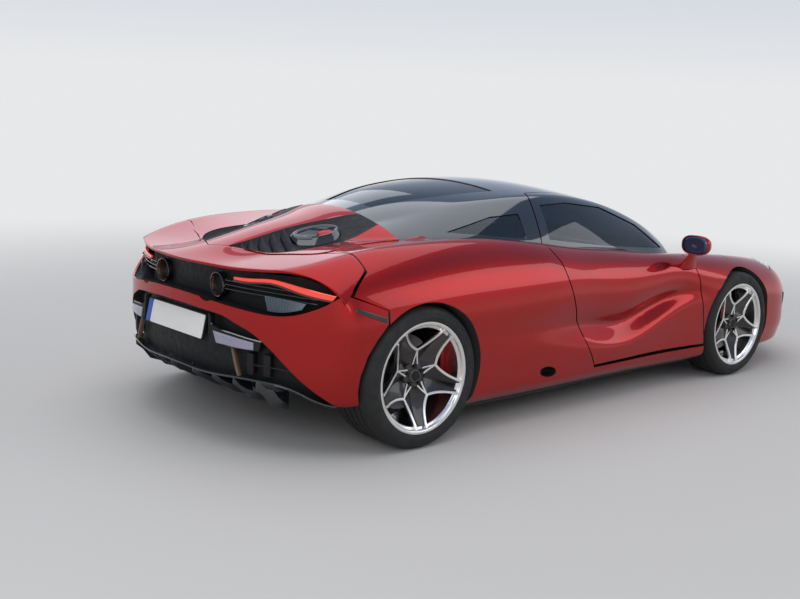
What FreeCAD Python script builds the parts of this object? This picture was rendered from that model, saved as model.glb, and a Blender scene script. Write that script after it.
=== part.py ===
# A two-seat mid-engined supercar, built as its real assemblies: outer panels split where the real ones meet,
# a hollow cabin with cut windows, and wheels on uprights that turn and steer.
# Millimetres. X points forwards, Y to the car's left, Z up; the origin is on the ground under the middle.
import FreeCAD
import Part
import Sketcher
import os
import re
from FreeCAD import Vector, Placement, Rotation

doc = FreeCAD.newDocument("Supercar")
sheet = doc.addObject("Spreadsheet::Sheet", "Dimensions")

# name, value in millimetres or degrees, what it is
dimensions = [
    ("wheelbase", 2670, "front axle to rear axle"),
    ("frontOverhang", 1063, "nose ahead of the front axle"),
    ("rearOverhang", 810, "tail behind the rear axle"),
    ("bodyWidth", 1930, "over the rear haunches"),
    ("roofHeight", 1190, "crown of the roof above the ground"),
    ("groundClearance", 120, "underside of the floor tray"),
    ("panelGap", 6, "gap round a panel that opens"),
    ("seamGap", 0.8, "gap between fixed panels"),
    ("seatGap", 0.3, "gap where a piece is seated on another"),
    ("skinThickness", 26, "fixed outer panels"),
    ("lidThickness", 24, "front lid and rear wing"),
    ("canopyWall", 36, "roof frame"),
    ("glassThickness", 6, "all panes"),
    ("floorThickness", 22, "floor tray"),
    ("tubWall", 26, "cabin tub"),
    ("cabinHalfWidth", 655, "inside of the tub's side wall, from the middle"),
    ("doorInnerHalfWidth", 715, "inner face of a door, from the middle"),
    ("frontTyreRadius", 327, "245 wide on a 19 inch rim"),
    ("frontTyreWidth", 240, "front tyre over its side walls"),
    ("frontRimRadius", 256, "front rim over its lip"),
    ("frontTrack", 1660, "between the front tyres' middles"),
    ("rearTyreRadius", 345, "305 wide on a 20 inch rim"),
    ("rearTyreWidth", 296, "rear tyre over its side walls"),
    ("rearRimRadius", 269, "rear rim over its lip"),
    ("rearTrack", 1612, "between the rear tyres' middles"),
    ("frontArchRadius", 358, "front wheel arch"),
    ("rearArchRadius", 364, "rear wheel arch"),
    ("frontWellInner", 525, "inner wall of the front wheel well, from the middle"),
    ("rearWellInner", 610, "inner wall of the rear wheel well, from the middle"),
    ("discRadius", 184, "brake disc"),
    ("caliperReach", 30, "caliper beyond the disc"),
    ("discThickness", 32, "brake disc"),
    ("discOffset", 52, "inner face of the disc behind the wheel's middle"),
    ("hubRadius", 66, "hub pad of the rim"),
    ("hubBack", 34, "back of the hub pad ahead of the wheel's middle"),
    ("hubFront", 84, "front of the hub pad ahead of the wheel's middle"),
    ("spokeThickness", 30, "depth of a spoke"),
    ("rimWall", 12, "barrel of the rim"),
    ("stubRadius", 28, "stub axle"),
    ("bearingGap", 0.05, "a shaft or pin to its bore"),
    ("kingpinRadius", 10, "pivot pins of a front upright"),
    ("seatWidth", 500, "over the bolsters"),
    ("seatOffset", 345, "seat's middle from the car's middle"),
    ("steeringWheelRadius", 172, "middle of the steering wheel's rim"),
    ("steeringGrip", 15, "thickness of the steering wheel's rim, as a radius"),
    ("columnRadius", 20, "steering column"),
    ("railWidth", 66, "front frame rail"),
    ("exhaustRadius", 60, "outside of a tail pipe"),
    ("exhaustWall", 4, "tail pipe"),
    ("exhaustOffset", 250, "pipe's middle from the car's middle"),
    ("exhaustHeight", 742, "pipe's middle above the ground"),
    ("beadInset", 18, "a bead's seat in from the side wall"),
    ("lipHeight", 8, "lip of a rim, and its width"),
    ("treadEdge", 44, "end of the flat tread in from the side wall"),
    ("spokeRoot", 42, "where a spoke leaves the hub, from the wheel's middle"),
    ("spokeFork", 110, "where a spoke begins to open, from the wheel's middle"),
    ("spokeWeb", 150, "where a spoke's two arms part, from the wheel's middle"),
    ("uprightBack", 110, "inner face of an upright from the wheel's middle"),
    ("uprightDepth", 38, "plate of an upright"),
    ("uprightLength", 90, "plate of an upright along the car"),
    ("earHeight", 72, "ear that carries a caliper"),
    ("caliperDepth", 66, "pads in from the disc's edge"),
    ("caliperInner", 84, "inner face of a caliper from the wheel's middle"),
    ("armThickness", 12, "suspension arm and its eye"),
    ("armWidth", 26, "suspension arm along the car"),
    ("shaftRadius", 20, "drive shaft"),
    ("shaftInner", 170, "gearbox flange from the car's middle"),
    ("tubBackHeight", 640, "bulkhead behind the seats"),
    ("tubSideHeight", 280, "side of the tub"),
    ("tubFrontHeight", 500, "bulkhead ahead of the feet"),
    ("engineLength", 690, "engine"),
    ("engineWidth", 600, "engine"),
    ("engineHeight", 480, "engine"),
    ("gearboxLength", 460, "gearbox"),
    ("gearboxWidth", 340, "gearbox"),
    ("silencerHeight", 190, "silencer"),
    ("silencerHalfWidth", 440, "silencer, from the car's middle"),
    ("pipeLength", 420, "tail pipe"),
    ("columnHeight", 800, "middle of the steering wheel above the ground"),
    ("columnLean", 24, "steering column below the level, in degrees"),
]
for row, (alias, amount, note) in enumerate(dimensions, start=1):
    sheet.set(f"A{row}", alias)
    sheet.set(f"B{row}", str(amount))
    sheet.set(f"C{row}", note)
    sheet.setAlias(f"B{row}", alias)
doc.recompute()


def size(name):
    return float(sheet.get(name))


wheelbase = size("wheelbase")
rearAxleX = size("rearOverhang") - (wheelbase + size("frontOverhang") + size("rearOverhang")) / 2
frontAxleX = rearAxleX + wheelbase
halfWidth = size("bodyWidth") / 2
roofHeight = size("roofHeight")
floorZ = size("groundClearance")
floorTop = floorZ + size("floorThickness")
gap = size("panelGap")
seam = size("seamGap")
seat = size("seatGap")
skin = size("skinThickness")
farOut = halfWidth + 300


def fromRear(offset):
    """A place along the car, from the rear axle."""
    return rearAxleX + offset


def fromFront(offset):
    """A place along the car, from the front axle."""
    return frontAxleX + offset


def midway(share, offset=0):
    """A place along the car: a share of the wheelbase ahead of the rear axle."""
    return rearAxleX + share * wheelbase + offset


def box(x0, x1, y0, y1, z0, z1):
    return Part.makeBox(x1 - x0, y1 - y0, z1 - z0, Vector(x0, y0, z0))


def sidePrism(points, y0, y1, slant=0):
    """A side view (x, z) carried across the car, leaning back by slant for each unit outwards."""
    corners = [Vector(x - slant * (y0 - halfWidth), y0, z) for x, z in points]
    face = Part.Face(Part.makePolygon(corners + corners[:1]))
    return face.extrude(Vector(-slant * (y1 - y0), y1 - y0, 0))


def planPrism(points, z0, z1):
    """A top view (x, y) carried up from z0 to z1."""
    corners = [Vector(x, y, z0) for x, y in points]
    return Part.Face(Part.makePolygon(corners + corners[:1])).extrude(Vector(0, 0, z1 - z0))


def endPrism(points, x0, x1):
    """A cross-section (y, z) carried along the car from x0 to x1."""
    corners = [Vector(x0, y, z) for y, z in points]
    return Part.Face(Part.makePolygon(corners + corners[:1])).extrude(Vector(x1 - x0, 0, 0))


def crossCylinder(x, z, radius, y0, y1):
    return Part.makeCylinder(radius, y1 - y0, Vector(x, y0, z), Vector(0, 1, 0))


def mirrored(shape):
    return shape.mirror(Vector(0, 0, 0), Vector(0, 1, 0))


def both(shape):
    """The shape on the left and its mirror image on the right."""
    return shape.fuse(mirrored(shape))


def biggest(shape):
    """The largest solid, leaving behind the slivers that a cut may shed."""
    return max(shape.Solids, key=lambda solid: solid.Volume)


def pair(shape):
    """Two like solids, left and right, that don't touch."""
    solid = biggest(shape)
    return Part.makeCompound([solid, mirrored(solid)])


def keep(label, shape):
    """A named piece whose shape comes from the body's sections."""
    piece = doc.addObject("Part::Feature", label)
    piece.Label = label
    piece.Shape = shape
    return piece


# Cross-sections of the lower body, tail to nose. Widths are how far each point lies in from the widest side.
# share of the wheelbase, offset | floor: height, in | sill: in, height | crease: in, height
# | valley of the side channel: in, height | bulge: in, height | crest: in, height | height at the middle
lowerSections = [
    (0, -810, 305, 575, 465, 335, 405, 450, 385, 550, 405, 670, 515, 820, 838),
    (0, -550, 240, 305, 175, 285, 125, 430, 105, 550, 122, 700, 300, 868, 860),
    (0, -300, 170, 185, 75, 230, 35, 420, 25, 550, 40, 720, 240, 925, 893),
    (0, 0, 130, 145, 35, 200, 5, 420, 0, 550, 10, 720, 215, 955, 918),
    (0, 550, 120, 125, 35, 190, 10, 420, 10, 520, 6, 705, 205, 955, 900),
    (0.356, 0, 120, 125, 35, 190, 15, 385, 40, 500, 20, 730, 188, 915, 850),
    (0.468, 0, 120, 135, 45, 185, 20, 350, 85, 470, 40, 720, 190, 875, 805),
    (0.60, 0, 120, 145, 55, 180, 30, 345, 118, 450, 50, 710, 200, 840, 790),
    (0.73, 0, 120, 145, 60, 172, 30, 460, 104, 540, 50, 700, 200, 800, 775),
    (1, -420, 120, 145, 45, 165, 20, 500, 30, 570, 40, 680, 185, 780, 752),
    (1, 0, 120, 165, 35, 160, 10, 300, 5, 460, 15, 610, 215, 745, 700),
    (1, 380, 120, 205, 65, 150, 40, 280, 38, 430, 50, 565, 245, 700, 650),
    (1, 700, 125, 305, 165, 150, 125, 270, 125, 390, 140, 505, 330, 632, 600),
    (1, 920, 150, 515, 400, 175, 345, 280, 340, 360, 355, 450, 470, 545, 556),
    (1, 1063, 235, 765, 640, 255, 585, 310, 570, 360, 585, 410, 680, 470, 490),
]


def lowerWire(row, depth=0):
    """One closed section: straight floor, sill and fin, an arc over the shoulder and one across the top."""
    (share, offset, floorHeight, floorIn, sillIn, sillZ, creaseIn, creaseZ, valleyIn, valleyZ,
     bulgeIn, bulgeZ, crestIn, crestZ, topZ) = row
    x = midway(share, offset)
    corners = [(floorIn, floorHeight + depth), (sillIn, sillZ + depth), (creaseIn, creaseZ),
               (valleyIn, valleyZ), (bulgeIn, bulgeZ), (crestIn, crestZ - depth)]
    left = [Vector(x, halfWidth - inset - depth, z) for inset, z in corners]
    right = [Vector(p.x, -p.y, p.z) for p in left]
    top = Vector(x, 0, topZ - depth)
    edges = [Part.makeLine(right[0], left[0])]
    edges += [Part.makeLine(left[i], left[i + 1]) for i in range(3)]
    edges.append(Part.Arc(left[3], left[4], left[5]).toShape())
    edges.append(Part.Arc(left[5], top, right[5]).toShape())
    edges.append(Part.Arc(right[5], right[4], right[3]).toShape())
    edges += [Part.makeLine(right[i + 1], right[i]) for i in (2, 1, 0)]
    return Part.Wire(edges)


# Cross-sections of the canopy, tail to nose; heights over the belt are drops from the roof's crown.
# share of the wheelbase, offset | belt: half-width, height | roof edge: half-width, drop | drop at the middle
canopySections = [
    (0, -560, 120, 880, 80, 283, 275),
    (0, -200, 340, 910, 215, 238, 205),
    (0, 150, 545, 930, 330, 190, 132),
    (0, 500, 685, 930, 430, 118, 52),
    (0.337, 0, 755, 900, 515, 66, 6),
    (0.468, 0, 768, 865, 560, 54, 0),
    (0.60, 0, 760, 830, 575, 97, 50),
    (0.73, 0, 735, 792, 580, 195, 150),
    (1, -400, 665, 765, 545, 335, 278),
    (1, -215, 470, 735, 390, 415, 375),
    (1, -90, 200, 715, 170, 455, 435),
]
canopyRoot = 90


def canopyWire(row, depth=0):
    """One closed section of the canopy: it starts inside the lower body; its sides and crown are arcs."""
    share, offset, beltHalf, beltZ, roofHalf, roofDrop, crownDrop = row
    x = midway(share, offset)
    belt = Vector(x, beltHalf - depth, beltZ)
    foot = Vector(x, beltHalf - depth, beltZ - canopyRoot - depth)
    edge = Vector(x, roofHalf - depth * 0.8, roofHeight - roofDrop - depth * 0.6)
    crown = Vector(x, 0, roofHeight - crownDrop - depth)
    bow = 0.06 * (edge - belt).Length
    side = (belt + edge) * 0.5 + Vector(0, bow, bow * 0.4)
    flipped = [Vector(p.x, -p.y, p.z) for p in (foot, belt, side, edge)]
    return Part.Wire([
        Part.makeLine(flipped[0], foot), Part.makeLine(foot, belt), Part.Arc(belt, side, edge).toShape(),
        Part.Arc(edge, crown, flipped[3]).toShape(), Part.Arc(flipped[3], flipped[2], flipped[1]).toShape(),
        Part.makeLine(flipped[1], flipped[0])])


def lowerForm(depth=0):
    return Part.makeLoft([lowerWire(row, depth) for row in lowerSections], True, False)


def canopyForm(depth=0):
    return Part.makeLoft([canopyWire(row, depth) for row in canopySections], True, False)


lowerBody = lowerForm()
lowerInside = lowerForm(skin)
lidInside = lowerForm(size("lidThickness"))
canopy = canopyForm()
canopyInside = canopyForm(size("canopyWall"))
paneOutside = canopyForm(5)
paneInside = canopyForm(5 + size("glassThickness"))

# Wheel wells: round in the side view, open outwards.
frontWell = crossCylinder(frontAxleX, size("frontTyreRadius"), size("frontArchRadius"),
                          size("frontWellInner"), farOut)
rearWell = crossCylinder(rearAxleX, size("rearTyreRadius"), size("rearArchRadius"),
                         size("rearWellInner"), farOut)
frontWells = both(frontWell)
rearWells = both(rearWell)

# Doors. The front shut line leans back as the hinge line does; the rear one leans forward going down,
# and its face slants so that the door leaves it as it swings.
doorFrontFoot = (fromFront(-335), 200)
doorFrontTop = (fromFront(-486), 780)
doorSillZ = 232
doorSillRise = 62
doorRearSlant = 0.48
roofSeamHalf = 500
pillarHalf = 575
beltZ = 745
skyZ = roofHeight + 200
doorInner = size("doorInnerHalfWidth")
# The hinge line of the left door, at its foot and upwards.
hingeFoot = Vector(doorFrontFoot[0], 985, doorFrontFoot[1])
hingeUp = Vector(-0.25, -0.10, 0.963)
hingeUp.normalize()


def doorRegion(grow=0):
    """What belongs to the left door below and above the belt, larger all round by grow."""
    rearLine = [(fromRear(1300) - grow, 160), (fromRear(1261) - grow, 259), (fromRear(1105) - grow, 502),
                (fromRear(963) - grow, 825), (fromRear(893) - grow, 906), (fromRear(885) - grow, skyZ)]
    frontLine = [(doorFrontTop[0] + grow, skyZ), (doorFrontTop[0] + grow, doorFrontTop[1]),
                 (doorFrontFoot[0] + grow, doorFrontFoot[1]), (doorFrontFoot[0] + grow, 160)]
    ahead = sidePrism([(fromRear(700), 160), (fromRear(700), skyZ)] + frontLine, roofSeamHalf - 50, farOut)
    behind = sidePrism([(frontAxleX, 160), (frontAxleX, skyZ)] + rearLine[::-1], roofSeamHalf - 50, farOut,
                       doorRearSlant)
    rise = doorSillRise if grow == 0 else 0
    below = endPrism([(farOut, doorSillZ - grow), (halfWidth, doorSillZ - grow),
                      (doorInner - grow, doorSillZ + rise - grow), (doorInner - grow, skyZ),
                      (farOut, skyZ)], fromRear(700), frontAxleX)
    above = planPrism([(fromRear(700), roofSeamHalf - grow), (fromFront(-1110), roofSeamHalf - grow),
                       (fromFront(-1020), pillarHalf - grow), (frontAxleX, pillarHalf - grow),
                       (frontAxleX, farOut), (fromRear(700), farOut)], beltZ, skyZ)
    within = ahead.common(behind)
    return within.common(below), within.common(above)


# Windows: the side ones in the side view, the others from above.
doorWindow = [(fromRear(2150), 808), (fromRear(1950), 952), (fromRear(1640), 1062), (fromRear(1330), 1098),
              (fromRear(1120), 1090), (fromRear(1062), 922), (fromRear(1500), 868)]
quarterWindow = [(fromRear(890), 935), (fromRear(930), 1052), (fromRear(740), 1040), (fromRear(430), 975)]
screenHalf = [(fromFront(-1080), 0), (fromFront(-1080), 490), (fromFront(-1010), 530), (fromFront(-600), 530),
              (fromFront(-410), 470), (fromFront(-260), 290), (fromFront(-170), 0)]
rearWindowHalf = [(fromRear(960), 0), (fromRear(960), 400), (fromRear(640), 330), (fromRear(260), 190),
                  (fromRear(260), 0)]


def wholePlan(half, grow=0):
    """A half outline, given from above, mirrored to the other side; grow widens it across the car."""
    left = [(x, y + grow if y > 1 else 0) for x, y in half]
    return left + [(x, -y) for x, y in left[::-1] if y > 1]


lowRegion, highRegion = doorRegion()
lowGap, highGap = doorRegion(gap)
canopyShell = canopy.cut(canopyInside)
doorSolid = lowerBody.common(lowRegion).fuse(canopyShell.common(lowRegion.fuse(highRegion)))
windowPrism = sidePrism(doorWindow, 300, farOut)
quarterPrism = sidePrism(quarterWindow, 200, farOut)
doorSolid = biggest(doorSolid.cut(windowPrism))
doorGaps = both(lowGap.fuse(highGap))

# Each door hangs on two curved arms that run into the fender; their bows are centred on the hinge line.
armReach = 125
armRadius = 9
armHeights = (570, 665)
armStart = -102
armSweep = 88
armRoomSweep = 93


def hingeArm(height, radius, sweep):
    """A bow round the hinge line at a height, from inside the door to ahead of it."""
    centre = hingeFoot + hingeUp * ((height - hingeFoot.z) / hingeUp.z)
    forward = Vector(1, 0, 0) - hingeUp * hingeUp.x
    forward.normalize()
    turn = Rotation(forward, hingeUp.cross(forward), hingeUp, "ZXY") * Rotation(Vector(0, 0, 1), armStart)
    bow = Part.makeTorus(armReach, radius, Vector(), Vector(0, 0, 1), -180, 180, sweep)
    bow.Placement = Placement(centre, turn)
    return bow


for height in armHeights:
    doorSolid = doorSolid.fuse(hingeArm(height, armRadius, armSweep))
keep("door_left", doorSolid)
keep("door_right", mirrored(doorSolid))

canopySplitX = fromRear(150)
screenPrism = planPrism(wholePlan(screenHalf), 600, skyZ)
rearWindowPrism = planPrism(wholePlan(rearWindowHalf), 600, skyZ)
canopyTop = canopyShell.cut(lowerBody)
roofShape = canopyTop.common(box(canopySplitX, frontAxleX + 200, -farOut, farOut, 0, skyZ))
roofShape = roofShape.cut(doorGaps).cut(screenPrism).cut(rearWindowPrism).cut(both(quarterPrism))
keep("roof", biggest(roofShape))


def pane(prism):
    """Glass in its opening, a seat's gap inside the frame."""
    return biggest(paneOutside.common(prism).cut(paneInside).cut(lowerBody))


def shrunk(points, amount):
    """An outline drawn in by an amount."""
    corners = [Vector(x, y, 0) for x, y in points]
    inner = Part.Face(Part.makePolygon(corners + corners[:1])).makeOffset2D(-amount, join=2)
    return [(vertex.X, vertex.Y) for vertex in inner.OuterWire.OrderedVertexes]


sidePane = pane(sidePrism(shrunk(doorWindow, seat), 300, farOut))
keep("door_glass_left", sidePane)
keep("door_glass_right", mirrored(sidePane))
keep("windscreen", pane(planPrism(shrunk(wholePlan(screenHalf), seat), 600, skyZ)))
quarterPane = pane(sidePrism(shrunk(quarterWindow, seat), 200, farOut))
keep("rear_glass", Part.makeCompound([pane(planPrism(shrunk(wholePlan(rearWindowHalf), seat), 600, skyZ)),
                                      quarterPane, mirrored(quarterPane)]))

# Rear wing: a V-shaped leading edge, a bowed trailing edge and slanting ends.
wingLeading = [(fromRear(-600), 0), (fromRear(-290), 670), (fromRear(-290), 830)]
wingTrailing = [(fromRear(-441), 890), (fromRear(-561), 700), (fromRear(-614), 600), (fromRear(-693), 400),
                (fromRear(-740), 200), (fromRear(-754), 0)]
upperForm = lowerBody.fuse(canopy)
wingFootZ = 762
wingPrism = planPrism(wholePlan(wingLeading + wingTrailing), wingFootZ, skyZ)
wingShape = biggest(upperForm.common(wingPrism).cut(lidInside))
# The wing stands on two struts that slide in sleeves on the rear frame, up and a little back.
wingSlide = Vector(-0.2588, 0, 0.9659)
strutRadius = 12
strutTop = Vector(fromRear(-560), 400, 856)
strut = Part.makeCylinder(strutRadius, 300, strutTop, wingSlide * -1)
wingShape = wingShape.fuse(both(strut))
sleeve = Part.makeCylinder(strutRadius + 9, 120, strutTop - wingSlide * 170, wingSlide * -1)
sleeveBore = Part.makeCylinder(strutRadius + size("bearingGap"), 400, strutTop, wingSlide * -1)
sleeveFoot = box(fromRear(-560), fromRear(-470), 385, 440 - seat, 520, 580)
sleeveShoe = box(fromRear(-560), fromRear(-470), 385, 500, 500 + seat, 530)
sleeve = sleeve.fuse(sleeveFoot).fuse(sleeveShoe).cut(sleeveBore)
keep("wing", wingShape)
keep("wing_sleeves", pair(sleeve))

wingRoomHalf = [(x + gap, y) for x, y in wingLeading[:2]]
wingRoomHalf += [(fromRear(-290) + gap, 830 + gap), (fromRear(-441), 890 + gap), (fromRear(-900), 890 + gap)]
wingRoomHalf.append((fromRear(-900), 0))
wingRoom = planPrism(wholePlan(wingRoomHalf, gap), wingFootZ - gap, skyZ)

# Behind and under the wing lies a recess with the grille, the lamps and the tail pipes.
recessFloorZ = 738
recessDepth = 62
recessEnd = 850
recessCurve = [(x + recessDepth, y) for x, y in wingTrailing[1:]]
recessHalf = [(fromRear(-900), 0), (fromRear(-900), recessEnd), (fromRear(-500) + recessDepth, recessEnd)]
recessPrism = planPrism(wholePlan(recessHalf + recessCurve), recessFloorZ, skyZ)

# The dark lower tail, seen from behind, and the seam between haunch and bumper, seen from the side.
darkTail = [(0, 655), (380, 655), (600, 500), (800, 335), (880, 275), (880, 100), (0, 100)]


def wholeEnd(half, lift=0):
    """A half cross-section (y, z) mirrored to the other side and raised."""
    left = [(y, z + lift) for y, z in half]
    return left + [(-y, z) for y, z in left[::-1] if y > 0]


darkTailPrism = endPrism(wholeEnd(darkTail), fromRear(-900), fromRear(-420))
haunchSeam = [(fromRear(-900), 742), (fromRear(-560), 742), (fromRear(-440), 772), (fromRear(-230), 690)]
tailFront = fromRear(-300)
deckHalf = 560
sideRoot = box(fromRear(-900), frontAxleX + 1200, -farOut, farOut, 0, floorTop + seat)

belowSeam = sidePrism(haunchSeam + [(fromRear(-230), 0), (fromRear(-900), 0)], 0, farOut)
belowSeamRoom = sidePrism([(x, z + seam) for x, z in haunchSeam] + [(fromRear(-230), 0), (fromRear(-900), 0)],
                          -farOut, farOut)

fenderSeam = [(fromFront(-290), 556), (fromFront(430), 950)]
fenderInner = size("frontWellInner")
dashRoomTop = 732


def fenderRegion(grow, back=0):
    """The panel between the door and the seam over the wheel, larger by grow, longer by back."""
    x0, z0 = doorFrontFoot
    x1, z1 = doorFrontTop
    rear = gap - grow - back
    return sidePrism([(x0 + rear, 0), (x0 + rear, z0), (x1 + rear, z1), (x1 + rear, skyZ),
                      (fenderSeam[1][0] + grow, skyZ), (fenderSeam[1][0] + grow, fenderSeam[1][1] - grow),
                      (fenderSeam[0][0] + grow, fenderSeam[0][1] - grow), (fenderSeam[0][0] + grow, 0)],
                     fenderInner - grow, farOut)


# Haunches with the sills below the doors.
haunchBlock = box(fromRear(-700), fromFront(-300), deckHalf + seam, farOut, floorTop + seat, skyZ)
quarter = lowerBody.common(haunchBlock).cut(rearWell).cut(lowGap).cut(highGap)
quarter = quarter.cut(wingRoom).cut(belowSeamRoom)
tubHalf = size("cabinHalfWidth") + size("tubWall")
sillHalf = 845
sillTop = 222
tubRear = fromRear(943)
quarter = quarter.cut(box(tubRear - seat, frontAxleX, 0, tubHalf + seat, 0, skyZ))
quarter = quarter.cut(box(tubRear - seat, frontAxleX, 0, sillHalf, 0, sillTop + seat))
quarter = quarter.cut(box(fromRear(1150), frontAxleX, 0, doorInner, sillTop + seat, skyZ))
quarter = quarter.cut(crossCylinder(rearAxleX, size("rearTyreRadius"), 48, 0, size("rearWellInner") + 20))
quarter = quarter.cut(fenderRegion(seam)).cut(recessPrism)
keep("quarters", pair(quarter))

# Rear deck: the spine that carries the canopy's line back between the haunches.
deckBlock = box(fromRear(-640), canopySplitX - seam, -deckHalf, deckHalf, 600, skyZ)
deck = upperForm.common(deckBlock).cut(lowerInside).cut(canopyInside).cut(wingRoom)
keep("rear_deck", biggest(deck))

# Rear bumper, open to the front between the wheel wells.
tailBlock = box(fromRear(-900), tailFront, -farOut, farOut, floorTop, skyZ)
bumper = lowerBody.common(tailBlock).common(both(belowSeam)).cut(darkTailPrism).cut(recessPrism)
bumper = bumper.cut(rearWells).cut(box(fromRear(-640), fromRear(-100), -deckHalf, deckHalf, 0, skyZ)).cut(wingRoom)
pipeRoom = Part.makeCylinder(size("exhaustRadius") + 6, 500, Vector(fromRear(-900), size("exhaustOffset"),
                                                                    size("exhaustHeight")), Vector(1, 0, 0))
pipeRooms = both(pipeRoom)
bumper = bumper.cut(pipeRooms)
keep("rear_bumper", biggest(bumper))

# Front clamshell with the bumper, the fenders behind its seam, and the lid.
lidRear = fromFront(50)
lidFront = fromFront(690)
lidHalf = [(lidFront, 0), (lidFront, 300), (lidFront - 60, 340), (lidRear, 440), (lidRear, 0)]
fender = lowerBody.common(fenderRegion(0)).cut(frontWell).cut(lowGap).cut(sideRoot)
fender = fender.cut(box(fromFront(-600), fromFront(-400) + seat, 0, tubHalf + seat, 0, dashRoomTop))
for height in armHeights:
    fender = fender.cut(hingeArm(height, armRadius + seat, armRoomSweep))
keep("fenders", pair(fender))

lidPrism = planPrism(wholePlan(lidHalf), 400, skyZ)
lidGapHalf = [(x + (gap if x > lidRear else -gap), y) for x, y in lidHalf]
lidGapPrism = planPrism(wholePlan(lidGapHalf, gap), 400, skyZ)
bonnet = biggest(lowerBody.common(lidPrism).cut(lidInside))
# The lid turns on two bows centred on its rear edge; each slides in an eye of a bridge over the frame.
lidAxis = Vector(lidRear - gap / 2, 0, 716)
bowReach = 90
bowRadius = 7
bowOffset = 300
bowFirst = 12
bowLast = 155


def lidBow(radius, first, last):
    """A bow round the lid's axis, from under the lid down and back."""
    bow = Part.makeTorus(bowReach, radius, Vector(), Vector(0, 0, 1), -180, 180, last - first)
    turn = Rotation(Vector(1, 0, 0), -90) * Rotation(Vector(0, 0, 1), first)
    bow.Placement = Placement(lidAxis + Vector(0, bowOffset, 0), turn)
    return bow


bonnet = bonnet.fuse(both(lidBow(bowRadius, bowFirst, bowLast)))
keep("bonnet", bonnet)
clamBlock = box(doorFrontTop[0] + gap, frontAxleX + 1200, -farOut, farOut, floorTop + seat, skyZ)
clamInside = box(fromFront(-560), fromFront(700), -fenderInner + skin, fenderInner - skin, 0, skyZ)
clamInside = clamInside.common(lowerInside)
clamBlock = clamBlock.cut(box(fromFront(-600), fromFront(-400) + seat, -farOut, farOut, 0, 700))
clam = lowerBody.common(clamBlock).cut(both(fenderRegion(seam, 200))).cut(frontWells)
clam = clam.cut(lidGapPrism).cut(clamInside)

# Dark pieces of the tail.
tailInside = lowerForm(40)
diffuserBody = tailInside.common(endPrism(wholeEnd(darkTail, -8), fromRear(-900), fromRear(-560)))
keep("diffuser", biggest(diffuserBody))
grilleThickness = 12
grilleBack = [(x + recessDepth - seat, y) for x, y in wingTrailing[1:]]
grilleFront = [(x - grilleThickness, y) for x, y in grilleBack]
grillePrism = planPrism(wholePlan(grilleBack[::-1] + grilleFront), recessFloorZ, skyZ)
wingUnder = lowerForm(size("lidThickness") + gap + 4)
grille = wingUnder.common(grillePrism).cut(pipeRooms)
keep("rear_grille", biggest(grille))
lampStart = [(x + 8, y) for x, y in wingTrailing if 190 < y < 860]
lampBack = [(x - seat, y) for x, y in grilleFront if 190 < y < 860]
tailLamp = wingUnder.common(planPrism(lampStart + lampBack[::-1], 772, 786)).cut(pipeRoom)
keep("tail_lamps", pair(tailLamp))

# Head lamps in the nose's corners.
lampCorner = [(fromFront(400), 790), (fromFront(560), 620), (fromFront(760), 470), (fromFront(830), 560),
              (fromFront(640), 740), (fromFront(480), 850)]
lampLow = 470
lampShell = lowerBody.cut(lowerForm(60))
headLamp = biggest(lampShell.common(planPrism(shrunk(lampCorner, seat), lampLow + seat, skyZ)))
keep("headlamps", pair(headLamp))
clam = clam.cut(both(lampShell.common(planPrism(lampCorner, lampLow, skyZ))))
keep("front_clamshell", biggest(clam))

# Floor tray between the wheel wells.
tray = lowerBody.common(box(fromRear(-250), fromFront(620), -840, 840, 0, floorTop))
tray = biggest(tray.cut(frontWells).cut(rearWells))
# Round jacking pads under the sills, where a lift's arms go.
padRadius = 38
padBottom = 112
for x in (fromRear(750), fromRear(2050)):
    pad = Part.makeCylinder(padRadius, floorTop - padBottom - 4, Vector(x, 700, padBottom))
    tray = tray.fuse(both(pad))
keep("underfloor", tray)

# Door mirrors: a head on a stalk that stands on the door.
mirrorHead = Vector(fromFront(-588), 1005, 858)
# distance ahead of the glass, half-width, half-height
mirrorSections = [(0, 97, 54), (30, 95, 52), (60, 80, 43), (84, 48, 26)]
mirrorWires = []
for ahead, halfSpan, halfRise in mirrorSections:
    centre = mirrorHead + Vector(ahead, 0, 0)
    oval = Part.Ellipse(centre + Vector(0, halfSpan, 0), centre + Vector(0, 0, halfRise), centre)
    mirrorWires.append(Part.Wire([oval.toShape()]))
headForm = Part.makeLoft(mirrorWires, True, False)
stalk = sidePrism([(fromFront(-590), 700), (fromFront(-520), 700), (fromFront(-545), 850),
                   (fromFront(-585), 850)], 890, 935)
mirror = biggest(headForm.fuse(stalk).cut(lowerBody))
keep("mirror_left", mirror)
keep("mirror_right", mirrored(mirror))


def onSheet(formula):
    """A formula in the sheet's names, written as the sheet is addressed."""
    return re.sub(r"[A-Za-z]\w*", lambda found: "Dimensions." + found.group(), str(formula))


def bind(thing, formulas):
    for name, formula in formulas.items():
        thing.setExpression(name, onSheet(formula))


rearAxle = "(rearOverhang - (wheelbase + frontOverhang + rearOverhang) / 2)"
frontAxle = f"({rearAxle} + wheelbase)"


def block(name, start, span):
    """A box from its lowest corner; start and span are formulas for x, y and z."""
    piece = doc.addObject("Part::Box", name)
    bind(piece, {"Placement.Base.x": start[0], "Placement.Base.y": start[1], "Placement.Base.z": start[2],
                 "Length": span[0], "Width": span[1], "Height": span[2]})
    return piece


def rod(name, start, axis, radius, length):
    """A round bar from a point along an axis."""
    piece = doc.addObject("Part::Cylinder", name)
    piece.Placement = Placement(Vector(), Rotation(Vector(0, 0, 1), axis))
    bind(piece, {"Placement.Base.x": start[0], "Placement.Base.y": start[1], "Placement.Base.z": start[2],
                 "Radius": radius, "Height": length})
    return piece


def joined(name, pieces):
    whole = doc.addObject("Part::MultiFuse", name)
    whole.Shapes = pieces
    return whole


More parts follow.
